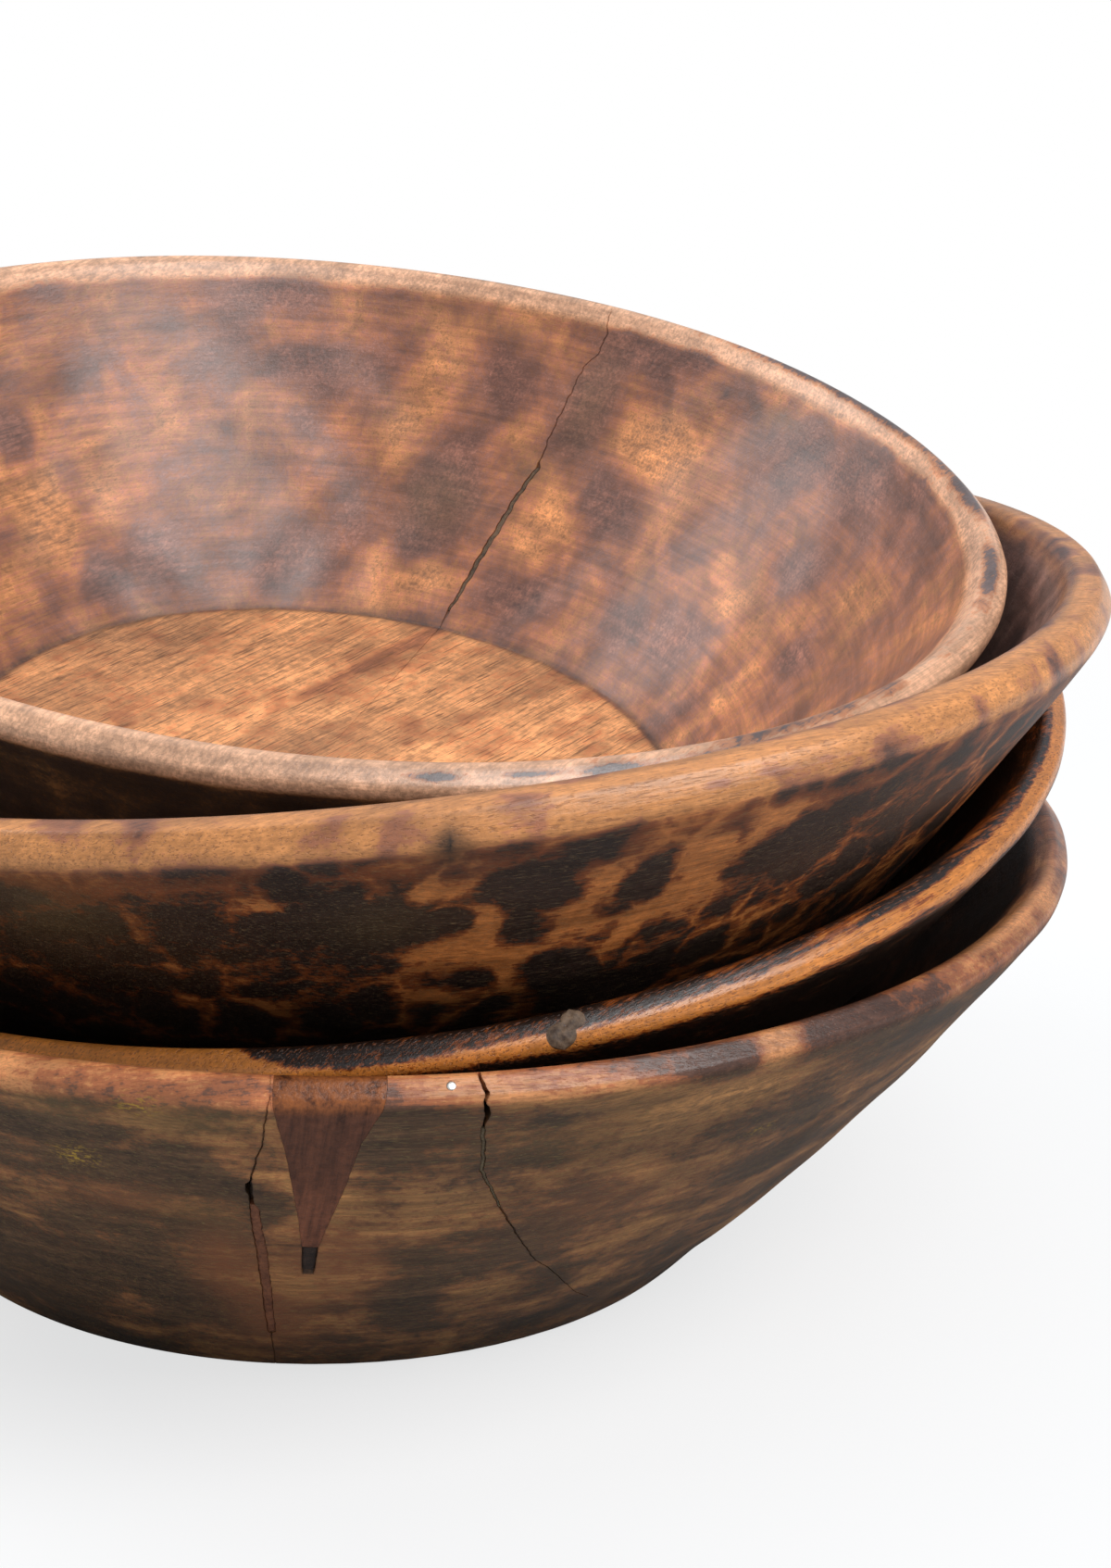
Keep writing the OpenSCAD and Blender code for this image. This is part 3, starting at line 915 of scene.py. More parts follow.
@dataclass(frozen=True)
class Filling:
    """Filler pressed into part of a groove.

    Attributes:
        name: Name of the piece.
        node: The CAD node it stands for.
        slot: Name of its material slot.
        finish: Its material.
        groove: The groove it is in.
        heights: Heights above the base of its two ends.
        gap: Room left at both edges.
        lift: How far its face stands out of the surface.
        thickness: Its thickness.
        across: Points across it.
    """

    name: str
    node: str
    slot: str
    finish: Filler
    groove: Groove
    heights: tuple[float, float]
    gap: float
    lift: float
    thickness: float
    across: int = 8


@dataclass
class Bowl:
    """One carved bowl and the surface that its repairs follow.

    Attributes:
        node: The CAD node it stands for.
        body: The CAD body it rides on.
        slot: Name of its material slot.
        section: Its cross-section.
        carving: How uneven it is.
        finish: Its material.
        stands: How it and the bowls under it stand, from the lowest up.
        grooves: Its cracks and pockets, from the smallest azimuth to the largest.
        fillings: What its grooves are filled with.
        spots: Its own marks.
        columns: Points around it, apart from those at the grooves.
        wall_rows: Rows of points up the outside wall and down the inside wall.
        base_rows: Rows on the base, and on the worn edge around it.
        lip_rows: Rows over the lip.
        floor_rows: Rows on the floor.
        trace: Its section, walked.
        place: Where it stands, as a 4 by 4 matrix.
    """

    node: str
    body: str
    slot: str
    section: Section
    carving: Carving
    finish: OiledHardwood
    stands: tuple[Stand, ...] = ()
    grooves: tuple[Groove, ...] = ()
    fillings: tuple[Filling, ...] = ()
    spots: tuple[Spot, ...] = ()
    columns: int = 360
    wall_rows: tuple[int, int] = (64, 64)
    base_rows: int = 6
    lip_rows: int = 30
    floor_rows: int = 24
    trace: Trace = field(init=False)
    place: Array = field(init=False)

    def __post_init__(self) -> None:
        """Walks the section and finds where the bowl stands."""
        self.trace = self.section.trace()
        self.place = np.eye(4)
        for stand in self.stands:
            self.place = self.place @ stand.matrix()

    def surface(self, azimuth: Array, walked: Array, lift: Array | float = 0.0) -> Array:
        """Points on the worn surface: the section turned to an azimuth, less the wear along its normal.

        Args:
            azimuth: Azimuths in degrees.
            walked: Distances along the section.
            lift: Extra distance out of the wood.

        Returns:
            Points in the row frame, in millimetres, with a last axis of 3.
        """
        radius, height, out_r, out_z = self.trace.at(walked)
        out = lift - self.carving.wear(azimuth, walked, self.trace, self.section.lip)
        radius, height = radius + out * out_r, height + out * out_z
        turn = np.radians(azimuth)
        local = np.stack([radius * np.cos(turn), radius * np.sin(turn), height], -1)
        return local @ self.place[:3, :3].T + self.place[:3, 3]

    def rows(self) -> Array:
        """Distances along the section of the grid's rows, closer together on the lip and at grooves' ends.

        Returns:
            Rising distances, without the two poles.
        """
        t = self.trace
        # Rows beside the corner around the floor, and the innermost rows on the base and on the floor
        corner = np.array([-1.6, -0.8, 0.6, 1.4, 2.4, 3.6])
        first, last = t.edge * 0.15, t.length[-1] - 12
        parts = [
            np.linspace(first, t.edge, self.base_rows),
            np.linspace(t.edge, t.wall, self.base_rows),
            np.linspace(t.wall, t.lip, self.wall_rows[0]),
            np.linspace(t.lip, t.hollow, self.lip_rows),
            np.linspace(t.hollow, t.floor, self.wall_rows[1]),
            t.floor + corner,
            np.linspace(t.floor + 5, last, self.floor_rows),
        ]
        for groove in self.grooves:
            ends = np.array([groove.heights[0], groove.heights[-1]])
            parts.append((t.reach(ends, groove.side)[:, None] + np.array([-0.3, 0.3])).ravel())
        for spot in self.spots:
            if spot.along < FINE_MARK:
                parts.append(t.reach(spot.height, spot.side) + np.array([-1.0, -0.4, 0.0, 0.4, 1.0]))
        return np.unique(np.round(np.concatenate(parts), 3))

    def groove_heights(self, groove: Groove, walked: Array, height: Array) -> tuple[Array, Array]:
        """Heights at which a groove is taken in each row, and whether the row is on the groove's face.

        Args:
            groove: The groove.
            walked: Distances along the section.
            height: Heights of the rows.

        Returns:
            The heights, and 1 where the row may be sunk by the groove.
        """
        outside = walked <= self.trace.crown
        if groove.over_lip:
            return height, np.ones_like(height)
        on_face = outside if groove.side is Side.OUTSIDE else ~outside
        reach = np.where(on_face, height, groove.heights[-1])
        low = walked < self.trace.wall if groove.side is Side.OUTSIDE else walked > self.trace.floor
        return np.where(low, groove.heights[0], reach), on_face.astype(float)

    def grid(self) -> tuple[Array, Array, Array, Array]:
        """Lays out the grid so that columns follow both edges of every groove.

        Returns:
            Rows by columns of azimuth, of distance along the section, of depth and of grime.
        """
        walked = self.rows()
        radius, height, _, _ = self.trace.at(walked)
        # Run of a groove's sides in millimetres, their largest share of its width, the margin beside it
        # and the radius below which these no longer widen in degrees
        run, share, margin, least = 0.18, 0.3, 0.45, 60
        per_mm = np.degrees(1 / np.maximum(radius, least))
        lines: list[Array] = []
        for groove in self.grooves:
            reach, on_face = self.groove_heights(groove, walked, height)
            left, right = groove.edges(reach)
            depth, grime = groove.sunk(reach) * on_face, groove.dirt(reach) * on_face
            lip = np.minimum(run, share * (right - left) / per_mm) * per_mm
            rim = margin * per_mm
            for azimuth, sunk, dirt in (
                (left - rim, 0, 0),
                (left, 0, 0.5),
                (left + lip, 1, 1),
                (right - lip, 1, 1),
                (right, 0, 0.5),
                (right + rim, 0, 0),
            ):
                lines.append(np.stack([azimuth, sunk * depth, dirt * grime]))
        if not lines:
            lines = [np.stack([np.full_like(walked, v) for v in (-90.0, 0.0, 0.0)])]
        full_turn = np.array([[360.0], [0.0], [0.0]])
        parts: list[Array] = []
        for start, end in zip(lines, [*lines[1:], lines[0] + full_turn], strict=True):
            count = max(1, round(float(np.median(end[0] - start[0])) / 360 * self.columns))
            t = np.arange(count) / count
            parts.append(start[..., None] + (end - start)[..., None] * t)
        azimuth, depth, grime = np.concatenate(parts, axis=2)
        return azimuth, np.broadcast_to(walked[:, None], azimuth.shape), depth, grime

    def zones(self, azimuth: Array, walked: Array) -> dict[str, Array]:
        """Numbers per point that tell the material where it is on the bowl.

        Args:
            azimuth: Azimuths of the points.
            walked: Distances along the section.

        Returns:
            One array per attribute.
        """
        t = self.trace
        lip = smooth(-1.0, 3.0, walked - t.lip) * smooth(5, -1, walked - t.hollow)
        floor = smooth(-1.5, 1.5, walked - t.floor)
        empty = {name: np.zeros_like(walked) for name in ("bias", "stain", "warm", "olive", "paint")}
        return empty | {
            "inside": smooth(-3, 3, walked - t.crown),
            "lip": lip,
            "floor": floor,
            "soft": np.full_like(walked, 0.25),
            "pore": np.clip(0.25 + 0.6 * lip + 0.75 * floor, 0, 1),
            "tone": np.ones_like(walked),
            # grime starts with the dirt and the painted shade in the corner around the floor
            "grime": self.crease(azimuth, walked),
        }

    def mark(self, zones: dict[str, Array], azimuth: Array, walked: Array) -> None:
        """Adds the bowl's own marks to the zones, each a bell around and along the section.

        Args:
            zones: The attributes, which are changed.
            azimuth: Azimuths of the points.
            walked: Distances along the section.
        """
        radius, _, _, _ = self.trace.at(walked)
        for spot in self.spots:
            away = (azimuth - spot.azimuth + 180) % 360 - 180
            across = np.radians(away) * radius / spot.across
            along = (walked - self.trace.reach(spot.height, spot.side)) / spot.along
            bump = spot.strength * np.exp(-(across**2 + along**2))
            zones[spot.layer] = zones[spot.layer] + bump
        for layer in ("stain", "warm", "olive", "paint"):
            zones[layer] = np.clip(zones[layer], 0, 1)

    def build(self) -> bpy.types.Object:
        """Builds the bowl as a closed grid with a point at each pole, dresses it and puts it on its body.

        Returns:
            The bowl's object.
        """
        azimuth, walked, depth, grime = self.grid()
        points = self.surface(azimuth, walked, -depth).reshape(-1, 3)
        poles = self.surface(np.zeros(2), np.array([0.0, self.trace.length[-1]]))
        points = np.concatenate([points, poles])
        made = mesh_object(self.node + "_carved", points, capped_faces(*azimuth.shape))
        zones = self.zones(azimuth, walked)
        self.mark(zones, azimuth, walked)
        zones["grime"] = np.clip(zones["grime"] + grime, 0, 1)
        fields = {name: np.concatenate([v.ravel(), v[0, :1], v[-1, :1]]) for name, v in zones.items()}
        turn = np.radians(azimuth)
        radius, _, _, _ = self.trace.at(walked)
        flat = np.where(walked > self.trace.crown, self.section.floor, self.section.base)
        reach = WRAP * np.minimum(radius / flat, 1)
        along = np.clip(walked, self.trace.edge, self.trace.floor)
        wrap = np.stack([reach * np.cos(turn), reach * np.sin(turn), along], -1).reshape(-1, 3) * MM
        fields["wrap"] = np.concatenate([wrap, wrap[:1], wrap[-1:]])
        fields["level"] = (points - self.place[:3, 3]) @ self.place[:3, :3] * MM
        paint(made, fields)
        self.fit(made, self.node, self.slot, self.finish)
        return made

    def crease(self, azimuth: Array, walked: Array) -> Array:
        """Dirt left in the corner around the floor, and a wider soft darkening beside it that is painted
        shade.
        """
        patchy = 0.75 + 0.25 * np.sin(np.radians(azimuth) * 5 + 1)
        corner = 0.6 * bell(walked, self.trace.floor - 0.2, 1.4)
        # The narrow bell is dirt in the corner; the wide, weaker one is painted shade
        return patchy * (corner + 0.3 * bell(walked, self.trace.floor - 2.0, 5.0))

    def inlay(
        self,
        groove: Groove,
        start: float,
        end: float,
        gap: float,
        lift: float,
        thickness: float,
        across: int = 8,
        eased: float = 0.25,
    ) -> tuple[Array, Array]:
        """Two grids that fill part of a groove.

        Args:
            groove: The groove.
            start: Distance along the section where the filling starts.
            end: Distance where it ends.
            gap: Room left at both edges.
            lift: How far its face stands out of the surface.
            thickness: Its thickness.
            across: Points across it.
            eased: How far its edges are rubbed down.

        Returns:
            The outer and the inner face.
        """
        pitch, fewest = 1.2, 12
        walked = np.linspace(start, end, max(fewest, int((end - start) / pitch)))
        radius, height, _, _ = self.trace.at(walked)
        left, right = groove.edges(height)
        room = np.degrees(gap / radius)
        u = np.linspace(0, 1, across)
        azimuth = (left + room)[:, None] + (right - left - 2 * room)[:, None] * u
        along = np.broadcast_to(walked[:, None], azimuth.shape)
        rounded = eased * (np.abs(2 * u - 1) ** 6)[None, :]
        face = lift - np.broadcast_to(rounded, azimuth.shape)
        return self.surface(azimuth, along, face), self.surface(azimuth, along, lift - thickness)

    def fit(
        self,
        made: bpy.types.Object,
        node: str,
        slot: str,
        finish: OiledHardwood | Filler | WornSteel | PatchRedwood,
    ) -> None:
        """Dresses a piece and puts it on this bowl's body in place of its CAD node.

        Args:
            made: The piece.
            node: The CAD node it stands for.
            slot: Name of a material slot; not used.
            finish: Its material.
        """
        made.data.materials.append(finish.make())
        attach(made, self.body)
        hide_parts(node)
        LOG.info("%s: %d faces on body %s for %s", made.name, len(made.data.polygons), self.body, node)

    def repairs(self) -> None:
        """Builds what the bowl's grooves are filled with."""
        for filling in self.fillings:
            groove = filling.groove
            start, end = sorted(float(self.trace.reach(z, groove.side)) for z in filling.heights)
            sizes = (filling.gap, filling.lift, filling.thickness, filling.across)
            faces = self.inlay(groove, start, end, *sizes)
            self.fit(slab(filling.name, *faces), filling.node, filling.slot, filling.finish)


LOWER = Stand(shift=(18.5, 24.0), seat=34.2207, lean=(6.8, -5.4))
UPPER = Stand(shift=(7.0, -37.0), seat=34.4326, lean=(-9.0, -0.7))
TOP = Stand(shift=(-21.0, 48.0), seat=45.4308, lean=(11.4, 9.8))

SEAM = Groove.crack(
    Side.OUTSIDE,
    radius=205,
    jag=0.16,
    path=[
        (0.0, -95.4, 0.3, 0.2, 0.3),
        (19.5, -95.1, 0.4, 0.4, 0.4),
        (20.5, -95.0, 3.2, 1.8, 0.2),
        (44.0, -94.7, 3.4, 1.8, 0.2),
        (62.0, -94.6, 3.3, 1.8, 0.2),
        (86.0, -94.7, 2.6, 1.8, 0.25),
        (88.0, -94.8, 1.2, 2.0, 0.6),
        (92.5, -94.85, 1.2, 4.0, 0.7),
        (93.5, -94.85, 1.9, 5.5, 1.0),
        (96.5, -94.8, 1.7, 5.5, 1.0),
        (97.5, -94.7, 0.5, 0.9, 0.7),
        (107.6, -94.1, 0.4, 0.6, 0.6),
        (113.0, -93.6, 0.35, 0.5, 0.5),
        (120.6, -93.4, 0.4, 0.6, 0.5),
        (130.6, -93.05, 0.3, 0.3, 0.3),
    ],
)
PATCH = Groove(
    Side.OUTSIDE,
    heights=(54.8, 56.8, 67.4, 80.7, 95.3, 112.5, 126.0, 134.0),
    left=(-91.3, -91.42, -91.35, -91.52, -91.85, -92.3, -92.8, -93.0),
    right=(-90.4, -90.3, -90.05, -89.15, -88.16, -87.42, -86.2, -85.86),
    depth=(0.0, 3.4, 3.8, 3.8, 3.8, 3.8, 3.8, 3.8),
    grime=(0.9, 0.9, 0.7, 0.2, 0.1, 0.06, 0.06, 0.1),
    jag=0.02,
    over_lip=True,
)
SPLIT = Groove.crack(
    Side.OUTSIDE,
    radius=215,
    jag=0.25,
    path=[
        (18.7, -57.5, 0.3, 0.2, 0.2),
        (25.9, -61.4, 0.35, 0.3, 0.35),
        (52.1, -70.4, 0.4, 0.4, 0.45),
        (65.3, -73.4, 0.45, 0.5, 0.5),
        (84.1, -76.8, 0.8, 0.8, 0.3),
        (99.5, -78.9, 1.1, 1.0, 0.15),
        (117.0, -79.7, 1.1, 1.4, 0.15),
        (118.0, -79.75, 0.5, 4.0, 0.6),
        (121.0, -79.6, 1.2, 8.0, 0.9),
        (124.5, -79.85, 1.5, 8.0, 0.9),
        (126.5, -80.0, 0.6, 8.0, 0.8),
        (130.0, -79.9, 1.1, 8.0, 0.8),
        (134.0, -80.1, 0.8, 6.0, 0.7),
    ],
)
CRACK = Groove.crack(
    Side.INSIDE,
    radius=165,
    jag=0.4,
    path=[
        (27.2, 68.4, 0.4, 0.2, 0.25),
        (32.0, 68.1, 1.4, 0.9, 0.3),
        (43.5, 66.4, 2.2, 1.4, 0.25),
        (57.4, 64.9, 2.2, 1.4, 0.25),
        (64.7, 64.1, 1.8, 1.4, 0.3),
        (76.2, 62.6, 1.6, 1.4, 0.25),
        (78.0, 62.6, 0.4, 0.5, 0.35),
        (95.7, 62.0, 0.35, 0.4, 0.3),
        (109.0, 61.2, 0.3, 0.3, 0.25),
        (112.5, 60.3, 0.3, 0.3, 0.25),
        (119.5, 59.9, 0.35, 0.4, 0.35),
        (127.7, 60.4, 0.3, 0.3, 0.2),
    ],
)


@dataclass
class BottomBowl(Bowl):
    """The largest bowl, with a let-in patch, two mended cracks and a pin in its lip.

    Attributes:
        patch_tip: Height above the base down to which the patch goes, on both faces.
        patch_thickness: Thickness of the patch.
        pin_azimuth: Direction of the pin from the bowl's axis.
        pin_rise: How far the pin points up, in degrees.
        pin_radius: Half the thickness of the pin.
        pin_depth: How far it goes into the wood.
        pin_sides: Points around it.
    """

    patch_tip: float = 68.0
    patch_thickness: float = 3.4
    pin_azimuth: float = -82.0
    pin_rise: float = 48.0
    pin_radius: float = 1.2
    pin_depth: float = 7.0
    pin_sides: int = 32

    def zones(self, azimuth: Array, walked: Array) -> dict[str, Array]:
        """Smoky outside, darker low down as painted shade, and a reddish tan lip, brightest on the left,
        partly from its own orange and partly as painted light.
        """
        z = super().zones(azimuth, walked)
        _, height, _, _ = self.trace.at(walked)
        wall = (1 - z["inside"]) * (1 - z["lip"])
        right = smooth(0.6, 0.95, np.cos(np.radians(azimuth + 30)))
        z["bias"] = 0.05 * wall - 0.15 * z["lip"] * (1 - 1.5 * right) + 0.3 * z["inside"] * (1 - z["lip"])
        z["soft"] = 0.3 - 0.08 * wall
        z["pore"] = 0.3 * wall + 0.3 * z["lip"]
        left = smooth(0.6, 0.97, np.cos(np.radians(azimuth + 112)))
        # Painted shade darkens the outside wall towards the base; on the left the lip and wall are lighter,
        # partly their own orange and partly painted light
        z["tone"] = 1 - 0.4 * smooth(50, 0, height) * wall + (0.9 * z["lip"] + 0.2 * wall) * left
        return z

    def repairs(self) -> None:
        """Builds the patch, the three fillers and the pin."""
        t = self.trace
        tip_out, tip_in = (float(t.reach(self.patch_tip, side)) for side in Side)
        faces = self.inlay(
            PATCH, tip_out, tip_in, gap=0.05, lift=0.0, thickness=self.patch_thickness, across=24, eased=0.05
        )
        patch = slab("rim_patch_let_in", *faces)
        rows, columns, _ = faces[0].shape
        walked = np.linspace(tip_out, tip_in, rows)
        lip = np.repeat(smooth(-2, 3, walked - t.lip), columns)
        tone = np.repeat(1.1 - 0.4 * smooth(15, 45, walked - tip_out), columns)
        paint(patch, {"lip": np.concatenate([lip, lip]), "tone": np.concatenate([tone, tone])})
        self.fit(patch, "rim_patch", "patch_wood", PatchRedwood())
        super().repairs()
        self.fit(self.pin(), "rim_pin", "pin_steel", WornSteel())

    def pin(self) -> bpy.types.Object:
        """A round pin in the lip: a domed end carried round the pin's own axis, and a straight shank.

        Returns:
            The pin's object.
        """
        turn, rise = math.radians(self.pin_azimuth), math.radians(self.pin_rise)
        ahead = np.array([math.cos(turn), math.sin(turn), 0.0])
        out = math.cos(rise) * ahead + np.array([0.0, 0.0, math.sin(rise)])
        side = np.array([-math.sin(turn), math.cos(turn), 0.0])
        up = np.cross(out, side)
        s = self.section
        middle = (s.radius - s.lip) * ahead + np.array([0.0, 0.0, s.height - s.lip])
        walked = np.array([self.trace.crown - (math.pi / 2 - rise) * s.lip])
        worn = self.carving.wear(np.array([self.pin_azimuth]), walked, self.trace, s.lip)
        # From the inner end to the top of the dome
        radius = self.pin_radius * np.array([1, 1, 1, 11 / 12, 3 / 4, 1 / 2, 1 / 4])
        along = s.lip - worn + np.array([-self.pin_depth, -2.0, 0.05, 0.15, 0.21, 0.24, 0.25])
        angle = np.linspace(0, 2 * math.pi, self.pin_sides, endpoint=False)
        rounds = radius[:, None, None] * (np.cos(angle)[:, None] * side + np.sin(angle)[:, None] * up)
        points = (middle + along[:, None, None] * out + rounds).reshape(-1, 3)
        poles = np.stack([middle + along[0] * out, middle + (along[-1] + 0.01) * out])
        faces = capped_faces(len(radius), self.pin_sides)
        return mesh_object("rim_pin_end", np.concatenate([points, poles]), faces)


@dataclass
class LowerBowl(Bowl):
    """The lower middle bowl, with a knot hole in its lip that is filled with putty.

    Attributes:
        knot_azimuth: Direction of the knot hole from the bowl's axis.
        knot_turn: How far down the outside of the round lip it is, in degrees from the crown.
        putty_depth: How far the putty goes into the wood.
    """

    knot_azimuth: float = -75.7
    knot_turn: float = 52.0
    putty_depth: float = 2.5

    def zones(self, azimuth: Array, walked: Array) -> dict[str, Array]:
        """Near black inside, a bright orange lip and cells of stain outside; the dark over the lip's inner
        part and underside is partly stain and partly painted shade.
        """
        z = super().zones(azimuth, walked)
        # Where the orange ends on the lip, from the crown towards the inside. The stain past it, which
        # covers most of the lip at the front under the upper bowl, is partly real stain and partly painted
        # shade
        turn = (-180, -99, -97, -94, -90, -85, -79, -70, -60, -50, -40, -20, 0, 60, 180)
        end = (5, 5, -2, -7, -9, -8, -6.7, -6.4, -6.1, -5.6, -4.7, -3.6, -2.4, 3, 5)
        inner = np.interp((azimuth + 180) % 360 - 180, turn, end)
        under = smooth(1.0, 5.0, walked - self.trace.lip)
        # Stain kept on the lip's underside, below the orange, is partly real stain and partly painted shade
        # in the gap above the bottom bowl
        z["bias"] = 0.35 - 0.95 * z["lip"] * under * smooth(1.6, -1.6, walked - self.trace.crown - inner)
        z["soft"] = 0.2 + 0.1 * z["lip"]
        z["pore"] = 0.3 + 0.3 * z["lip"]
        return z

    def repairs(self) -> None:
        """Builds the putty: two round lobes pressed together, a little proud, lumpy, with a crease between.

        Each lobe is a circle, and a row runs from the leftmost to the rightmost edge of those it meets.
        """
        columns, rows = 17, 27
        u = np.linspace(0, 1, columns)
        # Middle across and up the lip and radius of the right lobe and the left lobe
        lobes = np.array([(2.4, 2.3, 3.2), (-1.6, -1.7, 3.9)])
        up = np.linspace(-5.55, 5.45, rows)
        square = lobes[:, 2:] ** 2 - (up - lobes[:, 1:2]) ** 2
        half = np.sqrt(np.maximum(square, 0.02))
        left = np.where(square > 0, lobes[:, :1] - half, np.inf).min(axis=0)
        right = np.where(square > 0, lobes[:, :1] + half, -np.inf).max(axis=0)
        across = left[:, None] + (right - left)[:, None] * u
        start = self.trace.crown - math.radians(self.knot_turn) * self.section.lip
        walked = np.broadcast_to((start + up)[:, None], across.shape)
        radius, _, _, _ = self.trace.at(walked)
        azimuth = self.knot_azimuth + np.degrees(across / radius)
        crease = bell(0.7 * across + 0.7 * up[:, None], 0.6, 0.7)
        lumps = 0.2 * np.sin(across * 2.1 + 0.6) * np.cos(up[:, None] * 1.7) - 0.5 * crease
        rim = (2 * u - 1) ** 2
        face = 0.4 - 0.36 * rim**2 + lumps * (1 - rim)
        top = self.surface(azimuth, walked, face)
        bottom = self.surface(azimuth, walked, -self.putty_depth)
        self.fit(slab("knot_filler_putty", top, bottom), "knot_filler", "putty", PUTTY)


@dataclass
class UpperBowl(Bowl):
    """The upper middle bowl, with a dark knot at its lip and cells of stain all over its outside."""

    def zones(self, azimuth: Array, walked: Array) -> dict[str, Array]:
        """Darkest on the left and low down; the net opens towards the right, where the outside wall is also
        lighter as painted light.
        """
        z = super().zones(azimuth, walked)
        _, height, _, _ = self.trace.at(walked)
        wall = (1 - z["inside"]) * (1 - z["lip"])
        left = np.cos(np.radians(azimuth + 150))
        below = bell(walked, self.trace.lip - 5, 7) * wall
        right = smooth(0.6, 0.97, np.cos(np.radians(azimuth + 25)))
        inner = z["lip"] * smooth(-1, 4, walked - self.trace.crown)
        z["bias"] = wall * (0.26 + 0.12 * left + 0.12 * smooth(80, 30, height)) - 0.2 * below
        z["bias"] += 0.5 * inner * right - 0.4 * z["lip"]
        z["soft"] = 0.24 + 0.14 * z["lip"] + 0.3 * z["inside"] * (1 - z["lip"]) + 0.25 * below
        z["pore"] = np.clip(0.3 * wall + 0.45 * z["lip"] + 0.3 * z["inside"] * (1 - z["lip"]), 0, 1)
        # The outside wall is lighter towards the right as painted light
        z["tone"] = 1 - 0.3 * inner + 0.5 * wall * right
        return z


@dataclass
class TopBowl(Bowl):
    """The top bowl, seen from inside, with a filled crack in its back wall.

    Attributes:
        crack_foot: Azimuth at which the crack reaches the floor.
    """

    crack_foot: float = 68.4

    def zones(self, azimuth: Array, walked: Array) -> dict[str, Array]:
        """Cloudy reddish walls, lighter on the right as painted light, a lighter floor with open pores and a
        tan lip with grey spots.
        """
        z = super().zones(azimuth, walked)
        wall = (1 - z["inside"]) * (1 - z["lip"])
        radius, _, _, _ = self.trace.at(walked)
        # The crack goes on in the floor along the fibres, from the foot of the wall
        turn = np.radians(azimuth - self.finish.log)
        foot = self.section.floor * math.sin(math.radians(self.crack_foot - self.finish.log))
        aside = radius * np.sin(turn) - foot
        band = (bell(aside, 0.0, 2.8) + 0.3 * bell(aside, 0.0, 10.0)) * smooth(0, 50, radius * np.cos(turn))
        around = np.radians(azimuth)
        smudge = bell(walked, self.trace.crown - 0.6, 4.0) * smooth(0.25, 0.8, np.cos(around + 0.14))
        smudge *= 0.7 + 0.3 * np.sin(13 * around + 2 * np.sin(5 * around))
        z["bias"] = z["floor"] * (0.5 * band - 0.3) - 0.75 * z["lip"] + 1.3 * smudge + 0.2 * wall
        z["soft"] = 0.27 + 0.03 * z["lip"]
        z["pore"] = np.clip(0.12 + 0.6 * z["floor"], 0, 1)
        # The inside wall is lighter on the right as painted light
        z["tone"] = 1 + 0.15 * z["inside"] * smooth(0.7, 1.0, np.cos(around - 0.1))
        return z


DARK_FILLER = Filler("glue_and_soot_filler", "#46332A", "#1E1511", grain=1.2)
RED_FILLER = Filler(
    "glue_and_red_sawdust_filler", "#9A6040", "#5A3220", grain=1.1, roughness=0.5, stretch=4.0
)
GREY_FILLER = Filler("glue_and_ash_filler", "#7A6A50", "#453423", grain=1.0)
CRACK_FILLER = Filler("dirty_glue_filler", "#7A6046", "#2E241A", grain=1.3, roughness=0.5)
PUTTY = Filler("grey_brown_putty", "#927860", "#46352A", grain=1.6)

BOTTOM_FILLINGS = (
    Filling(
        "patch_kerf_filler_plug", "patch_kerf_filler", "dark_filler", DARK_FILLER, PATCH,
        heights=(56.9, 67.2), gap=0.1, lift=-0.4, thickness=2.4,
    ),
    Filling(
        "seam_filler_strip", "seam_filler", "red_filler", RED_FILLER, SEAM,
        heights=(20.8, 87.4), gap=0.15, lift=-0.1, thickness=1.5,
    ),
    Filling(
        "split_filler_strip", "split_filler", "grey_filler", GREY_FILLER, SPLIT,
        heights=(82.0, 117.0), gap=0.06, lift=-0.12, thickness=0.7, across=5,
    ),
)
TOP_FILLINGS = (
    Filling(
        "crack_filler_strip", "crack_filler", "dark_filler", CRACK_FILLER, CRACK,
        heights=(32.2, 76.0), gap=0.2, lift=-0.1, thickness=1.1, across=7,
    ),
)

BOTTOM_WOOD = OiledHardwood(
    "smoked_hardwood",
    outside=ZoneTone("#AA7643", "#82522F", "#523822", "#94804A"),
    inside=ZoneTone("#8A5630", "#5A3520", "#362318"),
    lip=ZoneTone("#C08050", "#905434", "#503428", "#80482A"),
    floor=ZoneTone("#8A5630", "#5A3520", "#362318"),
    log=6,
    cloud=(46, 26),
    net=0.3,
    mottle=2.2,
    ragged=1.0,
    grain=1.3,
    streak=0.32,
    roughness=(0.42, 0.38),
    wax=0.15,
    shine=0.45,
)
LOWER_WOOD = OiledHardwood(
    "orange_hardwood",
    outside=ZoneTone("#A8683A", "#5E2C14", "#241812", "#7A6444"),
    inside=ZoneTone("#A0602E", "#54280F", "#2A1A11", "#6A583C"),
    lip=ZoneTone("#D08038", "#8A4416", "#20130C", "#84461C"),
    floor=ZoneTone("#8A5028", "#542A14", "#2C1C13"),
    log=40,
    cell=14,
    cloud=(26, 18),
    net=0.4,
    mottle=1.8,
    ragged=2.2,
    grain=0.8,
    roughness=(0.34, 0.36),
    wax=0.3,
    shine=0.5,
)
UPPER_WOOD = OiledHardwood(
    "tortoiseshell_hardwood",
    outside=ZoneTone("#B26C36", "#703818", "#2A1D17", "#806844"),
    inside=ZoneTone("#987264", "#7A584E", "#5A443E", "#6A4634"),
    lip=ZoneTone("#CC8850", "#A26648", "#644236", "#7E4A2C"),
    floor=ZoneTone("#9A5C34", "#6A3A22", "#3A241C"),
    log=20,
    cell=18,
    bend=16,
    cloud=(32, 26),
    net=1.9,
    mottle=1.4,
    ragged=1.0,
    grain=0.9,
    roughness=(0.38, 0.38),
    wax=0.25,
    shine=0.45,
)
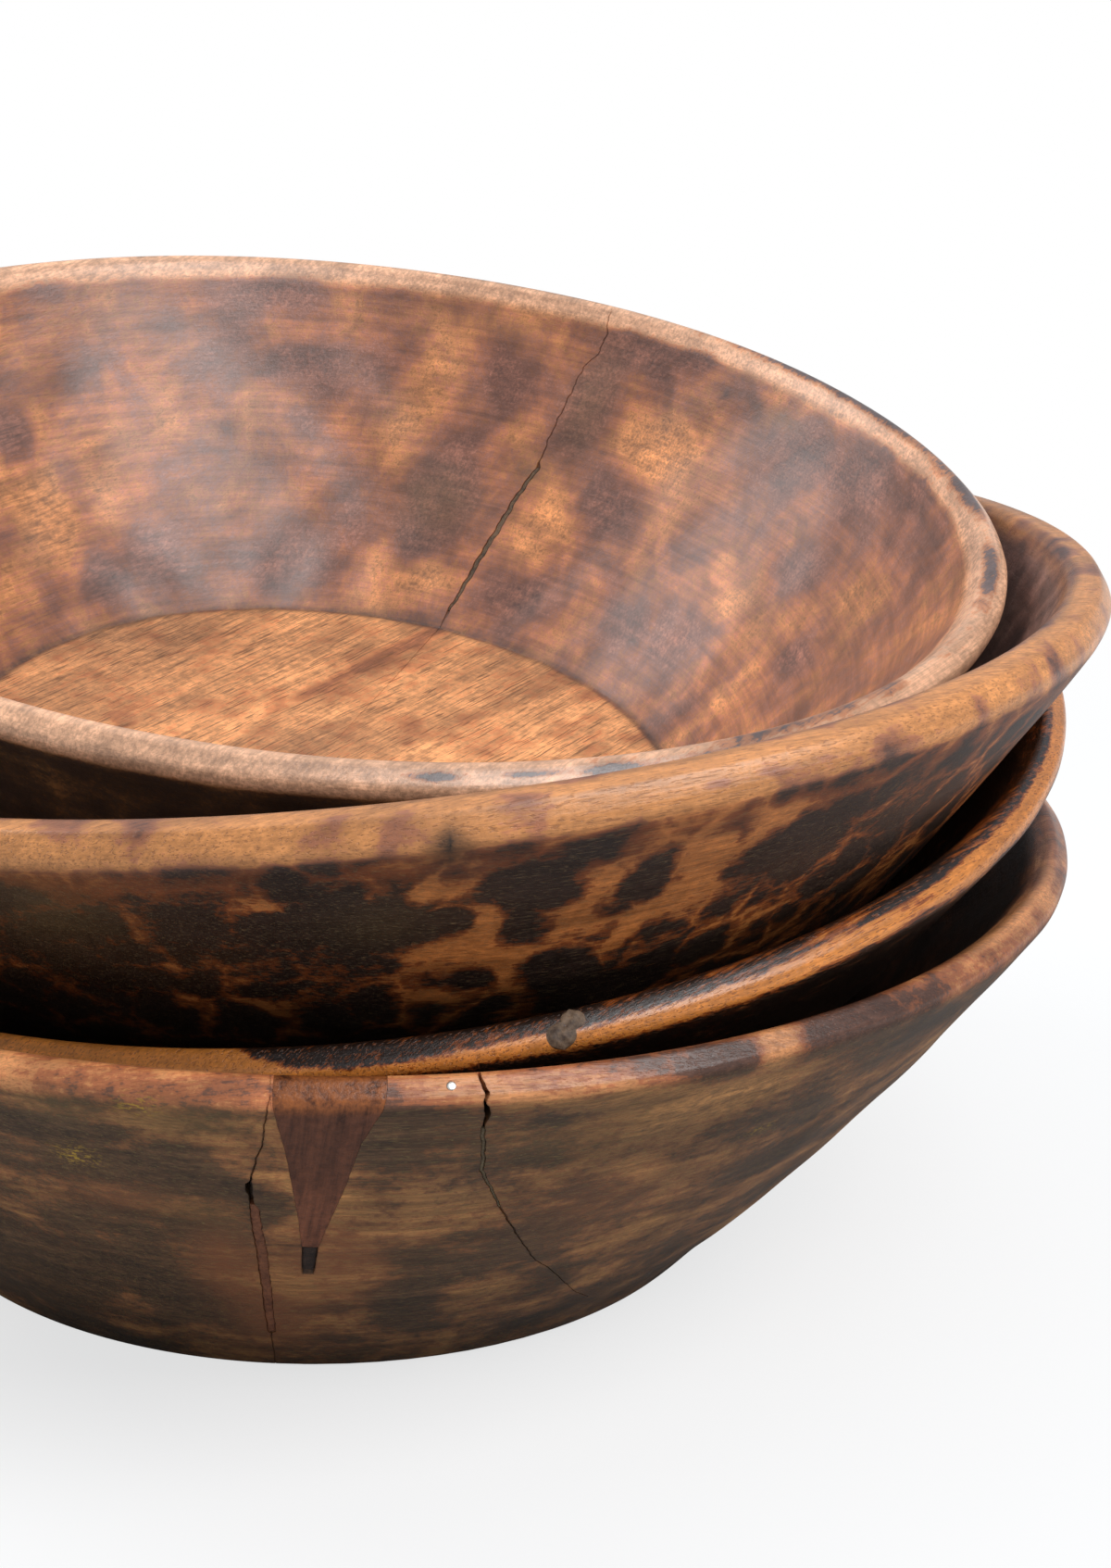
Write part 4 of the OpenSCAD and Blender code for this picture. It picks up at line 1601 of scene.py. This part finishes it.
TOP_WOOD = OiledHardwood(
    "mottled_hardwood",
    outside=ZoneTone("#A67844", "#5E472A", "#382C20", "#8A7A50"),
    inside=ZoneTone("#C8844E", "#A26444", "#7C503F", "#6E4630"),
    lip=ZoneTone("#DAA682", "#B47650", "#5A4844", "#A06842"),
    floor=ZoneTone("#D4925E", "#B47044", "#885234", "#6A4222"),
    log=52,
    cell=22,
    bend=16,
    cloud=(30, 30),
    net=0.4,
    mottle=1.8,
    ragged=1.5,
    grain=1.2,
    pores=(12.0, 0.6),
    streak=0.34,
    wiped=0.7,
    roughness=(0.4, 0.34),
    wax=0.4,
    shine=0.6,
)

TOP_SPOTS = (
    *spots(
        "bias", Side.INSIDE,
        (122, 121, 11, 6, 0.7), (96, 117, 18, 7, 0.5), (94.5, 96, 19, 9, 0.6), (93, 79, 8, 7, 0.5),
        (70.5, 102, 17, 12, 0.5), (75, 61, 19, 15, 0.7), (75, 47, 9, 8, 0.6), (73, 78, 10, 10, 0.5),
        (97.5, 38, 20, 10, 0.4), (117.5, 43, 14, 12, 0.5), (127.5, 38, 14, 9, 0.5),
        (59, 100, 10, 19, 0.7), (55.5, 119, 16, 8, 0.6), (52.5, 72, 11, 14, 0.6),
        (48.5, 122, 7, 4, 0.6), (31, 104, 24, 16, 0.5), (20.5, 113, 16, 12, 0.5),
        (22, 96, 17, 23, 0.3), (18.5, 80, 11, 10, 0.5), (33.5, 46, 21, 21, 0.4),
        (3, 110, 23, 24, 0.4), (7.5, 66, 9, 8, 0.5), (60, 40, 14, 11, 0.5), (133, 63, 18, 31, -0.5),
        (76.5, 104, 15, 14, -0.4), (72, 41, 20, 8, -0.4), (58.5, 63, 10, 16, -0.5),
        (49, 90, 14, 10, -0.55), (24, 96, 12, 12, -0.5), (19, 61, 19, 16, -0.4),
        (5, 91, 18, 16, -0.45), (132.5, 79, 7, 10, 0.9),
    ),
    *spots(
        "stain", Side.INSIDE,
        (104, 77, 5, 3.5, 0.6), (43.5, 113, 2.6, 3.5, 0.9), (39, 114, 2.0, 3.5, 0.6),
    ),
    *spots(
        "olive", Side.INSIDE,
        (35.5, 114, 9, 3, 0.6), (75, 61, 16, 13, 0.45), (59, 100, 9, 18, 0.45),
        (72, 116, 16, 5, 0.4), (63, 75, 9, 6, 0.5),
    ),
    *spots(
        "bias", Side.OUTSIDE,
        (-84, 126.5, 8, 2.0, 1.7), (-77, 126.9, 10, 1.5, 1.3), (-70.5, 126.5, 9, 2.2, 1.6),
        (-62, 126.8, 14, 2.0, 1.0),
    ),
)
UPPER_SPOTS = (
    *spots("grime", Side.OUTSIDE, (-84, 121, 3.6, 4.6, 2.0)),
    *spots(
        "stain", Side.OUTSIDE,
        (-83.5, 114, 7, 4, 0.9), (-8, 130, 26, 6, 0.3), (14, 130, 24, 6, 0.5),
    ),
    *spots(
        "bias", Side.OUTSIDE,
        (-105, 99, 36, 21, 0.25), (-105, 102, 3, 9, -0.5), (-104, 88, 3, 10, -0.5),
        (-104.5, 70, 3, 10, -0.45), (-96.5, 106, 6, 4, -0.7), (-98, 70, 8, 5, -0.5),
        (-85.5, 107, 11, 6, -0.7), (-81.5, 94, 4.5, 17, -0.7), (-84.5, 85, 8, 5, -0.7),
        (-79, 78, 6, 13, -0.7), (-85, 71, 7, 5, -0.6), (-75, 93, 9, 11, -0.6),
        (-69.5, 80, 6, 15, -0.7), (-73.5, 104, 14, 5, -0.7), (-66.5, 93, 12, 10, -0.7),
        (-65, 104, 10, 7, -0.6), (-61, 111, 16, 6, -0.6), (-79.5, 106, 10, 12, 0.6),
        (-87, 97, 14, 13, 0.6), (-76.5, 106, 7, 9, 0.4), (-70, 98, 9, 9, 0.5),
        (-70.5, 66, 18, 12, 0.5), (-60, 96, 17, 12, 0.4), (-54, 108, 18, 12, 0.4),
        (-54, 122, 20, 6, 0.5), (-93, 113, 10, 7, 0.5), (-66, 126, 14, 2, 0.6),
    ),
    *spots("bias", Side.INSIDE, (-110, 131, 30, 3.0, 0.6)),
    *spots(
        "olive", Side.OUTSIDE,
        (-110, 107, 18, 16, 0.5), (-88, 98, 16, 12, 0.25),
    ),
)
BOTTOM_SPOTS = (
    *spots(
        "olive", Side.OUTSIDE,
        (-106.5, 122, 12, 7, 0.8), (-98, 120, 15, 8, 0.8), (-99, 83, 12, 7, 0.6),
        (-73, 110, 24, 14, 0.4),
    ),
    *spots(
        "bias", Side.OUTSIDE,
        (-108, 111, 13, 6, 0.9), (-103, 102, 15, 6, 0.9), (-97.5, 95, 10, 6, 0.9),
        (-103.5, 114, 9, 4, 0.6), (-99.5, 109, 9, 5, 0.6), (-101, 120, 10, 5, -0.5),
        (-112.5, 40, 50, 34, 0.35), (-104.5, 58, 7, 20, 0.4), (-82, 50, 8, 24, 0.5),
        (-86, 112, 8, 20, 0.6), (-94, 86, 6, 10, 0.6), (-66, 98, 24, 20, -0.3),
        (-61.5, 114, 26, 12, -0.4), (-73.5, 62, 20, 20, 0.25), (-64, 131, 9, 5, 1.0),
        (-52.5, 132, 12, 5, 0.9), (-45, 131, 10, 5, 0.5), (-59.5, 131, 5, 6, -1.0),
        (-36, 133, 30, 8, -0.3),
    ),
    *spots(
        "warm", Side.OUTSIDE,
        (-104, 86, 15, 7, 0.6), (-98, 57, 8, 24, 1.0), (-88, 58, 10, 22, 1.0),
        (-93, 48, 12, 22, 0.9), (-94.5, 24, 10, 18, 0.8), (-90, 74, 8, 5, 0.8),
        (-68.5, 78, 20, 17, 0.4),
    ),
    *spots(
        "stain", Side.OUTSIDE,
        (-80.5, 91, 14, 14, 0.7), (-86, 84, 8, 8, 0.5), (-75, 120, 12, 5, 0.5),
        (-69.5, 120, 18, 4, 0.5),
    ),
    *spots(
        "paint", Side.OUTSIDE,
        (-101, 125, 4, 3.5, 1.0), (-106.5, 102, 5, 5, 0.9), (-56, 94.9, 2.4, 2, 1.0),
    ),
    *spots(
        "grime", Side.OUTSIDE,
        (-93, 68.6, 6, 0.7, 0.8), (-88.5, 36.9, 2, 1.6, 0.7),
    ),
)


@dataclass
class Studio:
    """The camera at the photograph's viewing angle, a pale floor and soft light.

    Attributes:
        focal: Focal length in pixels.
        tall: Height in pixels of the picture that it is for.
        sensor: Long side of the camera's sensor in millimetres.
        distance: Distance of the camera in front of the bowls, in millimetres.
        height: Its height in millimetres.
        yaw: Turn to the right in degrees.
        pitch: Tilt down in degrees.
        roll: Roll in degrees.
    """

    focal: float = 3278.4
    tall: float = 1693.0
    sensor: float = 36.0
    distance: float = 897.6
    height: float = 432.4
    yaw: float = 4.60
    pitch: float = 18.36
    roll: float = 2.09

    def camera(self) -> None:
        """Places the camera from its right, up and backward directions."""
        yaw, pitch, roll = (math.radians(a) for a in (self.yaw, self.pitch, self.roll))
        ahead = np.array([math.sin(yaw), math.cos(yaw), 0.0]) * math.cos(pitch)
        ahead[2] = -math.sin(pitch)
        level = np.array([math.cos(yaw), -math.sin(yaw), 0.0])
        rise = np.cross(level, ahead)
        right = math.cos(roll) * level + math.sin(roll) * rise
        up = -math.sin(roll) * level + math.cos(roll) * rise
        data = bpy.data.cameras.new("camera")
        data.sensor_width = self.sensor
        data.lens = self.sensor * self.focal / self.tall
        data.clip_start, data.clip_end = 0.01, 50.0
        made = bpy.data.objects.new("camera", data)
        place = np.eye(4)
        place[:3, :3] = np.stack([right, up, -ahead], 1)
        place[:3, 3] = np.array([0, -self.distance, self.height]) * MM
        made.matrix_world = Matrix(place.tolist())
        bpy.context.scene.collection.objects.link(made)
        bpy.context.scene.camera = made

    def floor(self) -> None:
        """A pale floor: white to the camera under the bowls' soft shadow, greyer as a source of light, and
        grey near the bowls to glossy rays, a painted shade in their reflections.
        """
        half, low = 6000.0, -0.3
        grid = np.array([[-half, -half, low], [half, -half, low], [half, half, low], [-half, half, low]])
        made = mesh_object("floor", grid, [np.array([[0, 1, 2, 3]])])
        material, g = new_graph("pale_floor")
        place = g.add("TexCoord", out="Object")
        distance = g.add("VectorMath", {0: place}, "Value", operation="LENGTH")
        white = g.add("Emission", {"Color": (1.0, 1.0, 1.0, 1.0), "Strength": 1.0})
        lit = g.add("BsdfDiffuse", {"Color": (1.0, 1.0, 1.0, 1.0)})
        grey = g.add("BsdfDiffuse", {"Color": (0.3, 0.3, 0.3, 1.0)})
        shown = g.add("BsdfDiffuse", {"Color": (0.6, 0.59, 0.58, 1.0)})
        for ray, near, glow in (
            ("Is Transmission Ray", grey, 0.0),
            ("Is Glossy Ray", grey, 0.0),
            ("Is Camera Ray", lit, 0.7),
        ):
            # White takes over between 0.35 and 0.95 m from the middle; nearer, glossy and transmission rays
            # see a grey floor, painted shade in the reflections
            inputs = {0: distance, 1: 0.35, 2: 0.95, 3: glow, 4: 1.0}
            far = g.add("MapRange", inputs, interpolation_type="SMOOTHSTEP")
            pale = g.add("MixShader", {0: far, 1: near, 2: white})
            seen = g.add("LightPath", out=ray)
            shown = g.add("MixShader", {0: seen, 1: shown, 2: pale})
        g.add("OutputMaterial", {"Surface": shown})
        made.data.materials.append(material)

    def light(self) -> None:
        """An even pale sky, white to the camera, and four soft lamps: right, back left, front and above."""
        world = bpy.data.worlds.new("sky")
        bpy.context.scene.world = world
        world.use_nodes = True
        g = Graph(world.node_tree)
        sky = g.add("Background", {"Color": (0.82, 0.91, 1.0, 1.0), "Strength": 0.46})
        white = g.add("Background", {"Color": (1.0, 1.0, 1.0, 1.0), "Strength": 1.0})
        seen = g.add("LightPath", out="Is Camera Ray")
        both = g.add("MixShader", {0: seen, 1: sky, 2: white})
        g.add("OutputWorld", {"Surface": both})
        aim = Vector((0, 0, 0.15))
        for name, place, size, power in (
            ("key_right", (0.99, -0.8, 1.34), 0.9, 13.0),
            ("fill_left", (-1.2, 0.45, 1.25), 0.9, 9.0),
            ("front", (0.52, -1.0, 1.6), 0.8, 6.0),
            ("overhead", (0.2, 0.25, 1.8), 1.8, 6.0),
        ):
            data = bpy.data.lights.new(name, "AREA")
            data.shape, data.size, data.energy = "DISK", size, power
            made = bpy.data.objects.new(name, data)
            made.location = place
            made.rotation_euler = (made.location - aim).to_track_quat("Z", "Y").to_euler()
            bpy.context.scene.collection.objects.link(made)


def main() -> None:
    """Builds the camera, the bowls with their repairs from the bottom up and the studio, and notes sizes."""
    logging.basicConfig(level=logging.INFO, format="%(message)s")
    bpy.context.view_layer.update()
    bpy.context.scene.view_settings.view_transform = "Standard"
    studio = Studio()
    studio.camera()
    bowls: list[Bowl] = [
        BottomBowl(
            node="bottom_bowl",
            body="bottom",
            slot="bottom_wood",
            section=Section(
                radius=230, height=134, lip=6, base=126, belly=4, floor=102, thickness=16, hollow=5.5
            ),
            carving=Carving(seed=11, sway=0.8, ripple=0.7, crown=1.0, flats=((50, 1.0), (-30, 0.8))),
            finish=BOTTOM_WOOD,
            grooves=(SEAM, PATCH, SPLIT),
            fillings=BOTTOM_FILLINGS,
            spots=BOTTOM_SPOTS,
            columns=300,
            wall_rows=(120, 60),
        ),
        LowerBowl(
            node="lower_bowl",
            body="lower",
            slot="lower_wood",
            section=Section(
                radius=222, height=127, lip=6.5, base=116, belly=2.5, floor=109, thickness=16, hollow=5.5
            ),
            carving=Carving(seed=12, sway=0.6, ripple=0.6, crown=1.0, flats=((40, 0.9), (-35, 0.8))),
            finish=LOWER_WOOD,
            stands=(LOWER,),
        ),
        UpperBowl(
            node="upper_bowl",
            body="upper",
            slot="upper_wood",
            section=Section(
                radius=225, height=132, lip=8, base=112, belly=3, floor=103, thickness=16, hollow=6
            ),
            carving=Carving(seed=13, sway=0.6, ripple=0.6, crown=1.0, flats=((12, 0.9), (70, 0.9))),
            finish=UPPER_WOOD,
            stands=(LOWER, UPPER),
            spots=UPPER_SPOTS,
        ),
        TopBowl(
            node="top_bowl",
            body="top",
            slot="top_wood",
            section=Section(
                radius=204, height=128, lip=6.3, base=111, belly=3, floor=114, thickness=27, hollow=5
            ),
            carving=Carving(seed=14, sway=0.7, ripple=0.8, crown=0.9, flats=((45, 0.8), (-45, 0.7))),
            finish=TOP_WOOD,
            stands=(LOWER, UPPER, TOP),
            grooves=(CRACK,),
            fillings=TOP_FILLINGS,
            spots=TOP_SPOTS,
            columns=330,
            wall_rows=(60, 110),
        ),
    ]
    for bowl in bowls:
        bowl.build()
        bowl.repairs()
    studio.floor()
    studio.light()


if __name__ == "__main__":
    main()
